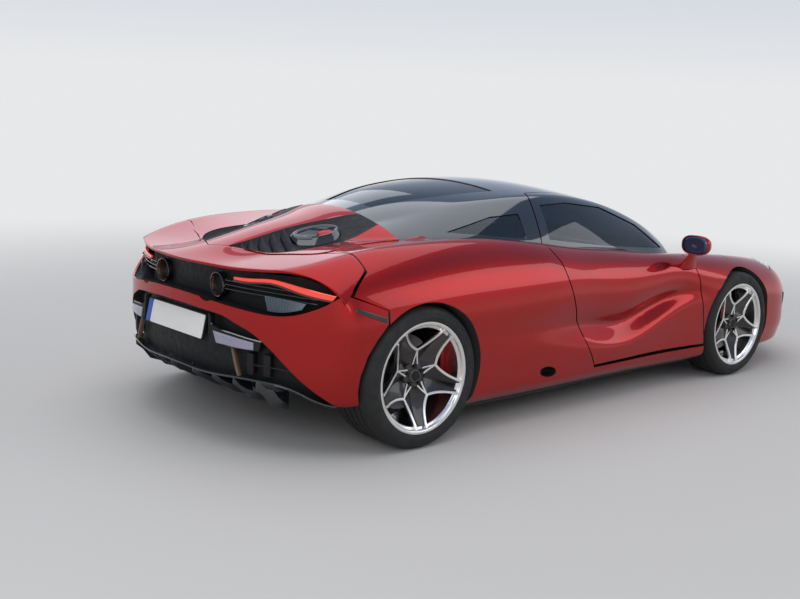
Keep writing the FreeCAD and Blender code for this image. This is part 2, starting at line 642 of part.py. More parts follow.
def cutFrom(name, base, tool):
    rest = doc.addObject("Part::Cut", name)
    rest.Base = base
    rest.Tool = tool
    return rest


def otherSide(name, source):
    twin = doc.addObject("Part::Mirroring", name)
    twin.Source = source
    twin.Normal = Vector(0, 1, 0)
    return twin


def group(name, pieces):
    whole = doc.addObject("Part::Compound", name)
    whole.Links = pieces
    return whole


def planeOf(body, role):
    return next(feature for feature in body.Origin.OriginFeatures if feature.Role == role)


def outline(body, role, name, corners, lift=None):
    """A closed sketch of straight lines on an origin plane; each corner is a pair of formulas."""
    sketch = body.newObject("Sketcher::SketchObject", name)
    sketch.AttachmentSupport = [(planeOf(body, role), "")]
    sketch.MapMode = "FlatFace"
    if lift is not None:
        sketch.setExpression(".AttachmentOffset.Base.z", onSheet(lift))
    values = [[float(sketch.evalExpression(onSheet(formula))) for formula in corner] for corner in corners]
    count = len(corners)
    for i in range(count):
        start, end = Vector(*values[i], 0), Vector(*values[(i + 1) % count], 0)
        sketch.addGeometry(Part.LineSegment(start, end), False)
    for i in range(count):
        sketch.addConstraint(Sketcher.Constraint("Coincident", i, 2, (i + 1) % count, 1))
    for i, corner in enumerate(corners):
        for kind, axisLine, formula, value in zip(("DistanceX", "DistanceY"), (-2, -1), corner, values[i]):
            if abs(value) < 1e-9:
                sketch.addConstraint(Sketcher.Constraint("PointOnObject", i, 1, axisLine))
                continue
            index = sketch.addConstraint(Sketcher.Constraint(kind, -1, 1, i, 1, value))
            sketch.setExpression(f".Constraints[{index}]", onSheet(formula))
    return sketch


def newBody(label):
    body = doc.addObject("PartDesign::Body", label)
    body.Label = label
    return body


def turned(body, name, corners):
    """A profile of (radius, height) turned round the body's own upright axis."""
    sketch = outline(body, "XZ_Plane", name + "Profile", corners)
    feature = body.newObject("PartDesign::Revolution", name)
    feature.Profile = sketch
    feature.ReferenceAxis = (sketch, ["V_Axis"])
    feature.Angle = 360
    doc.recompute()
    return feature


def placeWheelPart(body, x, y, z, side):
    """Turns a body made round Z so that it faces outwards on its side of the car."""
    body.Placement = Placement(Vector(), Rotation(Vector(1, 0, 0), -90 * side))
    bind(body, {"Placement.Base.x": x, "Placement.Base.y": y, "Placement.Base.z": z})


corners = [("front_left", "front", frontAxle, 1), ("front_right", "front", frontAxle, -1),
           ("rear_left", "rear", rearAxle, 1), ("rear_right", "rear", rearAxle, -1)]
nodes = {}
for corner, end, axleX, side in corners:
    radius = f"{end}TyreRadius"
    width = f"{end}TyreWidth"
    rim = f"{end}RimRadius"
    bead = f"{width} / 2 - beadInset"
    trackY = f"{end}Track / 2 * {side}"
    tyre = newBody(f"tyre_{corner}")
    turned(tyre, "Tread_" + corner, [
        (f"{rim} - lipHeight", f"-({bead}) + seatGap"), (f"{rim} + 4", f"-({bead}) + seatGap"),
        (f"{rim} + 6", f"-({width}) / 2 + 8"), (f"{rim} * 0.6 + {radius} * 0.4", f"-({width}) / 2"),
        (f"{radius} - 18", f"-({width}) / 2 + 7"), (f"{radius} - 5", f"-({width}) / 2 + treadEdge / 2"),
        (radius, f"-({width}) / 2 + treadEdge"), (radius, f"{width} / 2 - treadEdge"),
        (f"{radius} - 5", f"{width} / 2 - treadEdge / 2"), (f"{radius} - 18", f"{width} / 2 - 7"),
        (f"{rim} * 0.6 + {radius} * 0.4", f"{width} / 2"), (f"{rim} + 6", f"{width} / 2 - 8"),
        (f"{rim} + 4", f"{bead} - seatGap"), (f"{rim} - lipHeight", f"{bead} - seatGap")])
    placeWheelPart(tyre, axleX, trackY, radius, side)
    wheel = newBody(f"rim_{corner}")
    turned(wheel, "Barrel_" + corner, [
        (f"{rim} - lipHeight - rimWall", f"-({bead}) - lipHeight"), (rim, f"-({bead}) - lipHeight"),
        (rim, f"-({bead})"), (f"{rim} - lipHeight - seatGap", f"-({bead})"),
        (f"{rim} - lipHeight - seatGap", bead), (rim, bead),
        (rim, f"{bead} + lipHeight"), (f"{rim} - lipHeight - rimWall", f"{bead} + lipHeight")])
    spokeSketch = outline(wheel, "XY_Plane", "SpokeOutline_" + corner, [
        ("spokeRoot", "-30"), ("spokeFork", "-36"), (f"{rim} - 30", "-94"), (f"{rim} - 19", "-62"),
        ("spokeWeb", "0"), (f"{rim} - 19", "62"), (f"{rim} - 30", "94"), ("spokeFork", "36"),
        ("spokeRoot", "30")],
        "hubFront - spokeThickness")
    spoke = wheel.newObject("PartDesign::Pad", "Spokes_" + corner)
    spoke.Profile = spokeSketch
    bind(spoke, {"Length": "spokeThickness"})
    doc.recompute()
    pattern = wheel.newObject("PartDesign::PolarPattern", "SpokePattern_" + corner)
    pattern.Originals = [spoke]
    pattern.Axis = (spokeSketch, ["N_Axis"])
    pattern.Angle = 360
    pattern.Occurrences = 5
    wheel.Tip = pattern
    doc.recompute()
    turned(wheel, "Hub_" + corner, [
        ("stubRadius + bearingGap", "hubBack + seatGap"), ("hubRadius", "hubBack + seatGap"),
        ("hubRadius", "hubFront"), ("stubRadius + bearingGap", "hubFront")])
    placeWheelPart(wheel, axleX, trackY, radius, side)
    disc = newBody(f"disc_{corner}")
    turned(disc, "Rotor_" + corner, [
        ("stubRadius + bearingGap", "hubBack"), ("discRadius * 0.44", "hubBack"),
        ("discRadius * 0.44", "discThickness - discOffset"), ("discRadius", "discThickness - discOffset"),
        ("discRadius", "-discOffset"), ("discRadius * 0.39", "-discOffset"),
        ("discRadius * 0.39", "hubBack - 12"), ("stubRadius + bearingGap", "hubBack - 12")])
    placeWheelPart(disc, axleX, trackY, radius, side)
    nodes[f"tyre_{corner}"] = tyre
    nodes[f"rim_{corner}"] = wheel
    nodes[f"disc_{corner}"] = disc

# Front uprights: a plate between two lugs that reach over the disc to the pivot pins, with the stub axle.
frontY = "frontTrack / 2"


def upright(name, end, axleX, middleY, halfHeight):
    """The left upright of an axle, without its lugs."""
    axleZ = f"{end}TyreRadius"
    return [
        block(name + "Plate",
              (f"{axleX} - uprightLength / 2", f"{middleY} - uprightBack", f"{axleZ} - {halfHeight}"),
              ("uprightLength", "uprightDepth", f"2 * {halfHeight}")),
        rod(name + "Housing", (axleX, f"{middleY} - uprightBack + 35", axleZ), Vector(0, 1, 0),
            "discRadius * 0.39 - 9", "86"),
        rod(name + "Stub", (axleX, f"{middleY} - uprightBack + 30", axleZ), Vector(0, 1, 0),
            "stubRadius", "74 + hubFront")]


leftUpright = upright("FrontUpright", "front", frontAxle, frontY, "(discRadius + 20)")
leftUpright.append(block("FrontCaliperEar",
                         (f"{frontAxle} - 140", f"{frontY} - uprightBack", "frontTyreRadius - earHeight / 2"),
                         ("100", "uprightBack - caliperInner - seatGap", "earHeight")))
for name, foot, pinFoot in (
        ("Upper", "frontTyreRadius + discRadius + 8", "frontTyreRadius + discRadius + 18"),
        ("Lower", "frontTyreRadius - discRadius - 20", "frontTyreRadius - discRadius - 44")):
    leftUpright.append(block(name + "Lug", (f"{frontAxle} - 20", f"{frontY} - uprightBack", foot),
                             ("40", "uprightBack + 14", "armThickness")))
    leftUpright.append(rod(name + "Pin", (frontAxle, frontY, pinFoot), Vector(0, 0, 1),
                           "kingpinRadius", "26"))
nodes["knuckle_left"] = joined("KnuckleLeft", leftUpright)
nodes["knuckle_right"] = otherSide("KnuckleRight", nodes["knuckle_left"])

# Front suspension: on each side two arms with a pivot eye, joined by a post that stands on the body's wall.
armPieces = []
armFeet = {"Upper": "frontTyreRadius + discRadius + 22", "Lower": "frontTyreRadius - discRadius - 34"}
for name, foot in armFeet.items():
    armPieces.append(rod(name + "Eye", (frontAxle, frontY, foot), Vector(0, 0, 1),
                         "kingpinRadius + armWidth / 2", "armThickness"))
    armPieces.append(block(name + "Arm", (f"{frontAxle} - armWidth / 2", "frontWellInner + seatGap", foot),
                           ("armWidth", f"{frontY} - frontWellInner - kingpinRadius - 8", "armThickness")))
armPieces.append(block("ArmPost", (f"{frontAxle} - 24", "frontWellInner + seatGap", armFeet["Lower"]),
                       ("48", "armWidth", "2 * discRadius + 68")))
armBores = [rod(name + "EyeBore", (frontAxle, frontY, foot + " - 30"), Vector(0, 0, 1),
                "kingpinRadius + bearingGap", "80") for name, foot in armFeet.items()]
leftArms = cutFrom("ArmsLeft", joined("ArmsSolid", armPieces), joined("ArmBores", armBores))
nodes["front_suspension"] = group("FrontSuspension", [leftArms, otherSide("ArmsRight", leftArms)])

# Rear uprights with their arms, and the drive shafts.
rearY = "rearTrack / 2"
leftRear = upright("RearUpright", "rear", rearAxle, rearY, "150")
leftRear.append(block("RearCaliperEar",
                      (f"{rearAxle} + 40", f"{rearY} - uprightBack", "rearTyreRadius - earHeight / 2"),
                      ("100", "uprightBack - caliperInner - seatGap", "earHeight")))
for name, foot in (("Upper", "rearTyreRadius + 110"), ("Lower", "rearTyreRadius - 134")):
    leftRear.append(block(name + "RearArm", (f"{rearAxle} - 20", "rearWellInner + seatGap", foot),
                          ("40", f"{rearY} - rearWellInner - 100", "2 * armThickness")))
leftRearUpright = joined("RearUprightLeft", leftRear)
rightRearUpright = otherSide("RearUprightRight", leftRearUpright)
nodes["rear_uprights"] = group("RearUprights", [leftRearUpright, rightRearUpright])
shaft = rod("DriveShaftLeft", (rearAxle, "shaftInner + seatGap", "rearTyreRadius"), Vector(0, 1, 0),
            "shaftRadius", f"{rearY} - uprightBack - shaftInner - 2 * seatGap")
nodes["drive_shafts"] = group("DriveShafts", [shaft, otherSide("DriveShaftRight", shaft)])

# Brake calipers: a C-shaped section swept part of the way round the disc.
for corner, end, axleX, side in corners:
    caliper = newBody(f"caliper_{corner}")
    sweep = turned(caliper, "Caliper_" + corner, [
        ("discRadius - caliperDepth", "-caliperInner"), ("discRadius + caliperReach", "-caliperInner"),
        ("discRadius + caliperReach", "12"), ("discRadius - caliperDepth", "12"),
        ("discRadius - caliperDepth", "discThickness - discOffset + 6"),
        ("discRadius + 8", "discThickness - discOffset + 6"), ("discRadius + 8", "-discOffset - 6"),
        ("discRadius - caliperDepth", "-discOffset - 6")])
    sweep.Angle = 56
    forward = 180 if end == "front" else 0
    caliper.Placement = Placement(Vector(), Rotation(Vector(1, 0, 0), -90 * side)
                                  * Rotation(Vector(0, 0, 1), forward - 28))
    bind(caliper, {"Placement.Base.x": axleX, "Placement.Base.y": f"{end}Track / 2 * {side}",
                   "Placement.Base.z": f"{end}TyreRadius"})
    nodes[f"caliper_{corner}"] = caliper
nodes["rear_calipers"] = group("RearCalipers", [nodes.pop("caliper_rear_left"), nodes.pop("caliper_rear_right")])

# The tub and the frame rails that run out of it.
tubStart = f"({rearAxle} + 943)"
tubEnd = f"({frontAxle} - 400)"
bed = "(groundClearance + floorThickness + seatGap)"
railFace = "(frontWellInner - skinThickness - seatGap)"
tubSpan = "(cabinHalfWidth + tubWall)"
tubLength = f"{tubEnd} - {tubStart}"
tubPieces = [
    block("TubFloor", (tubStart, f"-{tubSpan}", bed), (tubLength, f"2 * {tubSpan}", "tubWall")),
    block("TubBack", (tubStart, f"-{tubSpan}", bed), ("tubWall", f"2 * {tubSpan}", "tubBackHeight")),
    block("TubFront", (f"{tubEnd} - tubWall", f"-{tubSpan}", bed), ("tubWall", f"2 * {tubSpan}", "230")),
    block("TubFrontUpper", (f"{tubEnd} - tubWall", "-frontWellInner + tubWall + seatGap", bed),
          ("tubWall", "2 * (frontWellInner - tubWall - seatGap)", "tubFrontHeight"))]
for side in (1, -1):
    name = "Left" if side == 1 else "Right"
    low = "cabinHalfWidth" if side == 1 else "-cabinHalfWidth - tubWall"
    tubPieces.append(block("TubSide" + name, (tubStart, low, bed), (tubLength, "tubWall", "tubSideHeight")))
    low = tubSpan if side == 1 else f"-{sillHalf} + seatGap"
    tubPieces.append(block("TubSill" + name, (tubStart, low, bed),
                           (f"{tubLength} - 60", f"{sillHalf} - seatGap - {tubSpan}", f"{sillTop} - {bed}")))
    low = f"{railFace} - railWidth" if side == 1 else f"-{railFace}"
    tubPieces.append(block("FrontRail" + name, (f"{tubEnd} - 10", low, "200"), ("1000", "railWidth", "90")))
    low = "440" if side == 1 else "-500"
    tubPieces.append(block("RearRail" + name, (f"{rearAxle} - 560 + seatGap", low, "420"),
                           ("1510 - seatGap", "60", "80")))
luggageHalf = f"({railFace} - railWidth)"
luggage = block("LuggageOuter", (f"{frontAxle} + 70", f"-{luggageHalf}", "250"),
                ("500", f"2 * {luggageHalf}", "310"))
luggageRoom = block("LuggageInner", (f"{frontAxle} + 80", f"10 - {luggageHalf}", "260"),
                    ("480", f"2 * {luggageHalf} - 20", "400"))
bridge = block("LidBridge", (f"{frontAxle} + 42", "-325", "480"), ("30", "650", "170"))
bowEyes = keep("BowEyes", both(lidBow(bowRadius + seat, 0, 180)))
tubTools = joined("TubTools", [luggageRoom, bowEyes])
nodes["tub"] = cutFrom("Tub", joined("TubSolid", tubPieces + [luggage, bridge]), tubTools)

# Engine and gearbox as one plain block; exhaust with its two high tail pipes.
nodes["engine_block"] = joined("EngineBlock", [
    block("Engine", (f"{rearAxle} + 180", "-engineWidth / 2", bed),
          ("engineLength", "engineWidth", "engineHeight")),
    block("Gearbox", (f"{rearAxle} - 260", "-gearboxWidth / 2", "200"),
          ("gearboxLength", "gearboxWidth", "300"))])
pipes = [block("Silencer", (f"{rearAxle} - 420", "seatGap - silencerHalfWidth", "560"),
               ("200", "2 * (silencerHalfWidth - seatGap)", "silencerHeight"))]
bores = []
for side in (1, -1):
    name = "Left" if side == 1 else "Right"
    pipes.append(rod("TailPipe" + name, (f"{rearAxle} - 790", f"{side} * exhaustOffset", "exhaustHeight"),
                     Vector(1, 0, 0), "exhaustRadius", "pipeLength"))
    bores.append(rod("TailPipeBore" + name, (f"{rearAxle} - 800", f"{side} * exhaustOffset", "exhaustHeight"),
                     Vector(1, 0, 0), "exhaustRadius - exhaustWall", "pipeLength - 90"))
    footStart = "400" if side == 1 else "-500"
    pipes.append(block("SilencerFoot" + name, (f"{rearAxle} - 400", footStart, "500 + seatGap"),
                       ("120", "100", "100")))
nodes["exhaust"] = cutFrom("Exhaust", joined("ExhaustSolid", pipes), joined("PipeBores", bores))

# Seats: a side profile across the seat's width.
seats = []
for side in (1, -1):
    name = "left" if side == 1 else "right"
    shell = newBody("Seat_" + name)
    sketch = outline(shell, "XZ_Plane", "SeatProfile_" + name, [
        ("0", "0"), ("430", "0"), ("520", "120"), ("500", "200"), ("420", "205"), ("100", "140"),
        ("-40", "330"), ("-190", "750"), ("-290", "750"), ("-250", "500"), ("-120", "120")])
    pad = shell.newObject("PartDesign::Pad", "SeatPad_" + name)
    pad.Profile = sketch
    bind(pad, {"Length": "seatWidth"})
    shell.Placement = Placement()
    bind(shell, {"Placement.Base.x": f"{rearAxle} + 1350",
                 "Placement.Base.y": f"{side} * seatOffset + seatWidth / 2",
                 "Placement.Base.z": f"{bed} + tubWall + seatGap"})
    seats.append(shell)
nodes["seats"] = group("Seats", seats)

# Dashboard and steering wheel.
columnX, columnY, columnZ = f"({rearAxle} + 1735)", "seatOffset", "columnHeight"
columnTurn = Rotation(Vector(0, 1, 0), 90 + size("columnLean")) * Rotation(Vector(0, 0, 1), 90)
dash = newBody("Dash")
dashSketch = outline(dash, "XZ_Plane", "DashProfile", [
    ("0", "0"), ("90", "-150"), ("300", "-150"), ("364 - seatGap", "-90"), ("364 - seatGap", "-20"),
    ("200", "75"), ("50", "70")])
dashPad = dash.newObject("PartDesign::Pad", "DashPad")
dashPad.Profile = dashSketch
bind(dashPad, {"Length": "2 * (cabinHalfWidth - seatGap)"})
bind(dash, {"Placement.Base.x": f"{rearAxle} + 1880", "Placement.Base.y": "cabinHalfWidth - seatGap",
            "Placement.Base.z": "650"})
columnBore = doc.addObject("Part::Cylinder", "ColumnBore")
columnBore.Placement = Placement(Vector(), columnTurn)
bind(columnBore, {"Radius": "columnRadius + bearingGap", "Height": "360", "Placement.Base.x": columnX,
                  "Placement.Base.y": columnY, "Placement.Base.z": columnZ})
nodes["dashboard"] = cutFrom("Dashboard", dash, columnBore)

# Steering wheel on its column, leaning back to the driver on the left.
rim = doc.addObject("Part::Torus", "SteeringRim")
bind(rim, {"Radius1": "steeringWheelRadius", "Radius2": "steeringGrip"})
hub = doc.addObject("Part::Cylinder", "SteeringHub")
bind(hub, {"Radius": "44", "Height": "50", "Placement.Base.z": "-20"})
bars = []
for name, angle in (("Left", 0), ("Right", 180), ("Lower", 270)):
    bar = doc.addObject("Part::Box", "SteeringSpoke" + name)
    bind(bar, {"Length": "steeringWheelRadius", "Width": "26", "Height": "14"})
    turn = Rotation(Vector(0, 0, 1), angle)
    bar.Placement = Placement(turn.multVec(Vector(0, -13, -7)), turn)
    bars.append(bar)
shaftPiece = doc.addObject("Part::Cylinder", "SteeringColumn")
bind(shaftPiece, {"Radius": "columnRadius", "Height": "300", "Placement.Base.z": "20"})
steering = joined("SteeringWheel", [rim, hub, shaftPiece] + bars)
steering.Placement = Placement(Vector(), columnTurn)
bind(steering, {"Placement.Base.x": columnX, "Placement.Base.y": columnY, "Placement.Base.z": columnZ})
nodes["steering_wheel"] = steering
doc.recompute()

for piece in doc.Objects:
    if piece.TypeId == "Part::Feature" and piece.Label[0].islower():
        nodes[piece.Label] = piece
os.makedirs("parts", exist_ok=True)
for thing in doc.Objects:
    for state in thing.State:
        if state in ("Invalid", "Error"):
            raise RuntimeError(f"{thing.Name} failed to build")
for label, piece in nodes.items():
    if piece.Shape.isNull() or not piece.Shape.isValid():
        raise RuntimeError(f"{label} has no valid shape")
    piece.Label = label
    piece.Shape.exportStep(f"parts/{label}.step")
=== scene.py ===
# Looks for a mid-engined two-seater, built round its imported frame. Metres; X forwards, Y left, Z up.
import bpy
import bmesh
import math
import numpy as np
from mathutils import Matrix, Vector
from mathutils.bvhtree import BVHTree


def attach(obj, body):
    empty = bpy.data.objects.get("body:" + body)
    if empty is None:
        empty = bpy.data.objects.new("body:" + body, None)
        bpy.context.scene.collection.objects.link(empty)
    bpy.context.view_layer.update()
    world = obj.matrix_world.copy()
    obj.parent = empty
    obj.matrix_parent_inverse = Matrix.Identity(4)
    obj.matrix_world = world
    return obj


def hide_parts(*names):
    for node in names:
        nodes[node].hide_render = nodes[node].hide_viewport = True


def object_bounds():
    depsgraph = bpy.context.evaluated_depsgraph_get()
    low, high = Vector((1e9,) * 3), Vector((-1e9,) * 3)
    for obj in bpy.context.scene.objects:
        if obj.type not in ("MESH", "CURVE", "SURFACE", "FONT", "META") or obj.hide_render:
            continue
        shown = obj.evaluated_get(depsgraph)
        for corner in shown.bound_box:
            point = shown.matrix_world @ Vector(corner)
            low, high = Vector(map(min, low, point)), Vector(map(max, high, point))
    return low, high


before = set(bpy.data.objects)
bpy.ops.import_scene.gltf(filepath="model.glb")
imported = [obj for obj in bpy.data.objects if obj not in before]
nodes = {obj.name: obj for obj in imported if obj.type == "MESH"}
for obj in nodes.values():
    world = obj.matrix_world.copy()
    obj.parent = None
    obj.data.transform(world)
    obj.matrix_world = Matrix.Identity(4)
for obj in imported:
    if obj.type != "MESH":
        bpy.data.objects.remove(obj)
cadLow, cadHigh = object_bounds()

car = {
    "wheelbase": 2.67, "rearOverhang": 0.81, "frontOverhang": 1.063,
    "halfWidth": 0.965, "roofHeight": 1.19, "exhaustOffset": 0.25, "exhaustHeight": 0.742,
    "frontRadius": 0.327, "rearRadius": 0.345, "frontTrack": 0.83, "rearTrack": 0.806,
    "frontArch": 0.358, "rearArch": 0.364,
}
rearAxle = car["rearOverhang"] - (car["wheelbase"] + car["rearOverhang"] + car["frontOverhang"]) / 2
frontAxle = rearAxle + car["wheelbase"]


def fromRear(offset):
    return rearAxle + offset


def fromFront(offset):
    return frontAxle + offset


# Materials: each finish is a small node tree on Object coordinates.
def addNode(owner, kind, **settings):
    node = owner.node_tree.nodes.new(kind)
    for key, value in settings.items():
        setattr(node, key, value)
    return node


def link(owner, source, target):
    owner.node_tree.links.new(source, target)


def setInputs(node, values):
    for socket, value in values.items():
        node.inputs[socket].default_value = value


def shaderOf(finish):
    return finish.node_tree.nodes["Principled BSDF"]


def noiseOf(finish, scale, detail=4.0, stretch=None):
    coordinates = addNode(finish, "ShaderNodeTexCoord")
    noise = addNode(finish, "ShaderNodeTexNoise")
    setInputs(noise, {"Scale": scale, "Detail": detail})
    source = coordinates.outputs["Object"]
    if stretch:
        mapping = addNode(finish, "ShaderNodeMapping")
        mapping.inputs["Scale"].default_value = stretch
        link(finish, source, mapping.inputs["Vector"])
        source = mapping.outputs["Vector"]
    link(finish, source, noise.inputs["Vector"])
    return noise.outputs["Fac"]


def cellsOf(finish, scale, feature):
    coordinates = addNode(finish, "ShaderNodeTexCoord")
    cells = addNode(finish, "ShaderNodeTexVoronoi", feature=feature)
    cells.inputs["Scale"].default_value = scale
    link(finish, coordinates.outputs["Object"], cells.inputs["Vector"])
    return cells.outputs["Distance"]


def varyColour(finish, scale, first, second, stretch=None):
    blend = addNode(finish, "ShaderNodeMix", data_type="RGBA")
    setInputs(blend, {6: (*first, 1), 7: (*second, 1)})
    link(finish, noiseOf(finish, scale, stretch=stretch), blend.inputs["Factor"])
    link(finish, blend.outputs[2], shaderOf(finish).inputs["Base Color"])


def varyRoughness(finish, scale, low, high):
    spread = addNode(finish, "ShaderNodeMapRange")
    setInputs(spread, {"From Min": 0.3, "From Max": 0.7, "To Min": low, "To Max": high})
    link(finish, noiseOf(finish, scale), spread.inputs["Value"])
    link(finish, spread.outputs["Result"], shaderOf(finish).inputs["Roughness"])


def addBump(finish, texture, scale, detail, distance, strength):
    bump = addNode(finish, "ShaderNodeBump")
    setInputs(bump, {"Distance": distance, "Strength": strength})
    height = noiseOf(finish, scale, detail) if texture == "noise" else cellsOf(finish, scale, texture)
    link(finish, height, bump.inputs["Height"])
    link(finish, bump.outputs["Normal"], shaderOf(finish).inputs["Normal"])


def newFinish(name, settings, colour=None, rough=None, bump=None):
    # colour: noise scale, two colours, stretch | rough: noise scale, low, high
    # bump: texture, its scale and detail, distance, strength
    finish = bpy.data.materials.new(name)
    finish.use_nodes = True
    setInputs(shaderOf(finish), settings)
    for vary, values in ((varyColour, colour), (varyRoughness, rough), (addBump, bump)):
        if values:
            vary(finish, *values)
    return finish


# a metallic red under clear lacquer: tiny flakes break up the highlight
bodyPaint = newFinish("candyRedPaint", {"Metallic": 0.82, "Roughness": 0.3, "Coat Weight": 1.0,
                                        "Coat Roughness": 0.02, "Coat IOR": 1.38,
                                        "Specular Tint": (0.8, 0.08, 0.05, 1)},
                      (900.0, (0.3, 0.003, 0.003), (0.46, 0.01, 0.006)), (3.0, 0.27, 0.34),
                      ("F1", 1600.0, 0, 0.00004, 0.1))
glossBlack = newFinish("glossBlackPanel", {"Roughness": 0.08, "Coat Weight": 1.0, "Coat Roughness": 0.02},
                       (6.0, (0.005, 0.006, 0.009), (0.009, 0.011, 0.016)), None,
                       ("noise", 2.5, 1.0, 0.0004, 0.05))
darkPlastic = newFinish("grainedBlackPlastic", {"Roughness": 0.5, "Specular IOR Level": 0.3},
                        (30.0, (0.005, 0.005, 0.0055), (0.01, 0.01, 0.0105)), (40.0, 0.48, 0.66),
                        ("noise", 900.0, 2.0, 0.0002, 0.3))
tintedGlass = newFinish("tintedGlass", {"Roughness": 0.01, "Transmission Weight": 0.92, "IOR": 1.46,
                                        "Base Color": (0.075, 0.11, 0.15, 1)},
                        None, None, ("noise", 2.0, 1.0, 0.0003, 0.04))
tyreRubber = newFinish("tyreRubber", {"Roughness": 0.75}, (14.0, (0.008, 0.008, 0.008),
                                                           (0.016, 0.0155, 0.015)),
                       (22.0, 0.62, 0.85), ("noise", 500.0, 3.0, 0.0003, 0.35))
brightAlloy = newFinish("machinedAlloy", {"Metallic": 1.0, "Roughness": 0.22, "Coat Weight": 0.6,
                                          "Coat Roughness": 0.05},
                        (60.0, (0.7, 0.68, 0.66), (0.8, 0.78, 0.75)), (240.0, 0.17, 0.27))
# a darker alloy: on the wheels' recessed channels its darkness is painted shade between the bright ribs
darkAlloy = newFinish("shadowedAlloy", {"Metallic": 0.8, "Roughness": 0.34, "Coat Weight": 0.4},
                      (20.0, (0.035, 0.032, 0.03), (0.065, 0.06, 0.056)), (120.0, 0.26, 0.4))
# the disc's steel is darker than bare steel: painted shade inside the wheel, seen through the spokes
discSteel = newFinish("brakeDiscSteel", {"Metallic": 1.0, "Roughness": 0.35},
                      (90.0, (0.1, 0.1, 0.105), (0.17, 0.17, 0.175)), (160.0, 0.28, 0.45))
caliperRed = newFinish("redCaliperEnamel", {"Roughness": 0.3, "Coat Weight": 0.8, "Coat Roughness": 0.08},
                       (25.0, (0.55, 0.01, 0.008), (0.66, 0.018, 0.012)), None,
                       ("noise", 400.0, 4.0, 0.0002, 0.2))
castAluminium = newFinish("castAluminium", {"Metallic": 0.9, "Roughness": 0.5},
                          (40.0, (0.42, 0.42, 0.43), (0.55, 0.55, 0.56)), None,
                          ("noise", 300.0, 4.0, 0.0004, 0.4))
castIron = newFinish("darkCastIron", {"Metallic": 0.7, "Roughness": 0.6},
                     (35.0, (0.05, 0.05, 0.052), (0.1, 0.098, 0.095)), None,
                     ("noise", 260.0, 4.0, 0.0004, 0.5))
hotPipe = newFinish("heatTintedPipe", {"Metallic": 1.0, "Roughness": 0.28},
                    (9.0, (0.42, 0.26, 0.12), (0.3, 0.2, 0.2)), (70.0, 0.2, 0.4))
leather = newFinish("blackLeather", {"Roughness": 0.5, "Sheen Weight": 0.1},
                    (8.0, (0.016, 0.015, 0.015), (0.03, 0.028, 0.027)), (60.0, 0.42, 0.58),
                    ("SMOOTH_F1", 420.0, 0, 0.0006, 0.4))
trayPlastic = newFinish("undertrayPlastic", {"Roughness": 0.7},
                        (18.0, (0.012, 0.012, 0.012), (0.024, 0.023, 0.022)), None,
                        ("noise", 200.0, 4.0, 0.0004, 0.4))
redLens = newFinish("redLampLens", {"Roughness": 0.06, "Coat Weight": 1.0, "Emission Strength": 0.35,
                                    "Emission Color": (1.0, 0.07, 0.02, 1)},
                    (120.0, (0.6, 0.012, 0.006), (0.78, 0.05, 0.02)))
clearLens = newFinish("clearLampLens", {"Roughness": 0.03, "Transmission Weight": 0.9, "IOR": 1.45},
                      (80.0, (0.72, 0.76, 0.8), (0.8, 0.83, 0.86)))
meshGrey = newFinish("greyBlueMesh", {"Metallic": 0.7, "Roughness": 0.4},
                     (80.0, (0.13, 0.17, 0.21), (0.2, 0.25, 0.3)))
mirrorGlass = newFinish("mirrorGlass", {"Metallic": 0.5, "Roughness": 0.05, "Coat Weight": 0.5},
                        (12.0, (0.03, 0.055, 0.12), (0.04, 0.07, 0.14)))
lilacLens = newFinish("lilacLampLens", {"Roughness": 0.14, "Coat Weight": 0.6},
                      (60.0, (0.27, 0.25, 0.36), (0.34, 0.32, 0.43)))
plateWhite = newFinish("platePaint", {"Roughness": 0.35}, (30.0, (0.74, 0.75, 0.76), (0.79, 0.8, 0.8)),
                       (60.0, 0.3, 0.4))
plateBlue = newFinish("plateStripPaint", {"Roughness": 0.35},
                      (30.0, (0.01, 0.06, 0.42), (0.014, 0.075, 0.48)))
tanFin = newFinish("tanComposite", {"Roughness": 0.45}, (60.0, (0.13, 0.085, 0.05), (0.19, 0.125, 0.075),
                                                         (1, 1, 6)))
print("materials ready")


# The body's form: cross-sections, tail to nose, in millimetres. Widths lie in from the widest side.
# share of the wheelbase, offset | floor: height, in | sill: in, height | crease: in, height
# | valley of the side channel: in, height | bulge: in, height | crest: in, height | height at the middle
lowerSections = [
    (0, -810, 305, 575, 465, 335, 405, 450, 385, 550, 405, 670, 515, 820, 838),
    (0, -550, 240, 305, 175, 285, 125, 430, 105, 550, 122, 700, 300, 868, 860),
    (0, -300, 170, 185, 75, 230, 35, 420, 25, 550, 40, 720, 240, 925, 893),
    (0, 0, 130, 145, 35, 200, 5, 420, 0, 550, 10, 720, 215, 955, 918),
    (0, 550, 120, 125, 35, 190, 10, 420, 10, 520, 6, 705, 205, 955, 900),
    (0.356, 0, 120, 125, 35, 190, 15, 385, 40, 500, 20, 730, 188, 915, 850),
    (0.468, 0, 120, 135, 45, 185, 20, 350, 85, 470, 40, 720, 190, 875, 805),
    (0.6, 0, 120, 145, 55, 180, 30, 345, 118, 450, 50, 710, 200, 840, 790),
    (0.73, 0, 120, 145, 60, 172, 30, 460, 104, 540, 50, 700, 200, 800, 775),
    (1, -420, 120, 145, 45, 165, 20, 500, 30, 570, 40, 680, 185, 780, 752),
    (1, 0, 120, 165, 35, 160, 10, 300, 5, 460, 15, 610, 215, 745, 700),
    (1, 380, 120, 205, 65, 150, 40, 280, 38, 430, 50, 565, 245, 700, 650),
    (1, 700, 125, 305, 165, 150, 125, 270, 125, 390, 140, 505, 330, 632, 600),
    (1, 920, 150, 515, 400, 175, 345, 280, 340, 360, 355, 450, 470, 545, 556),
    (1, 1063, 235, 765, 640, 255, 585, 310, 570, 360, 585, 410, 680, 470, 490),
]
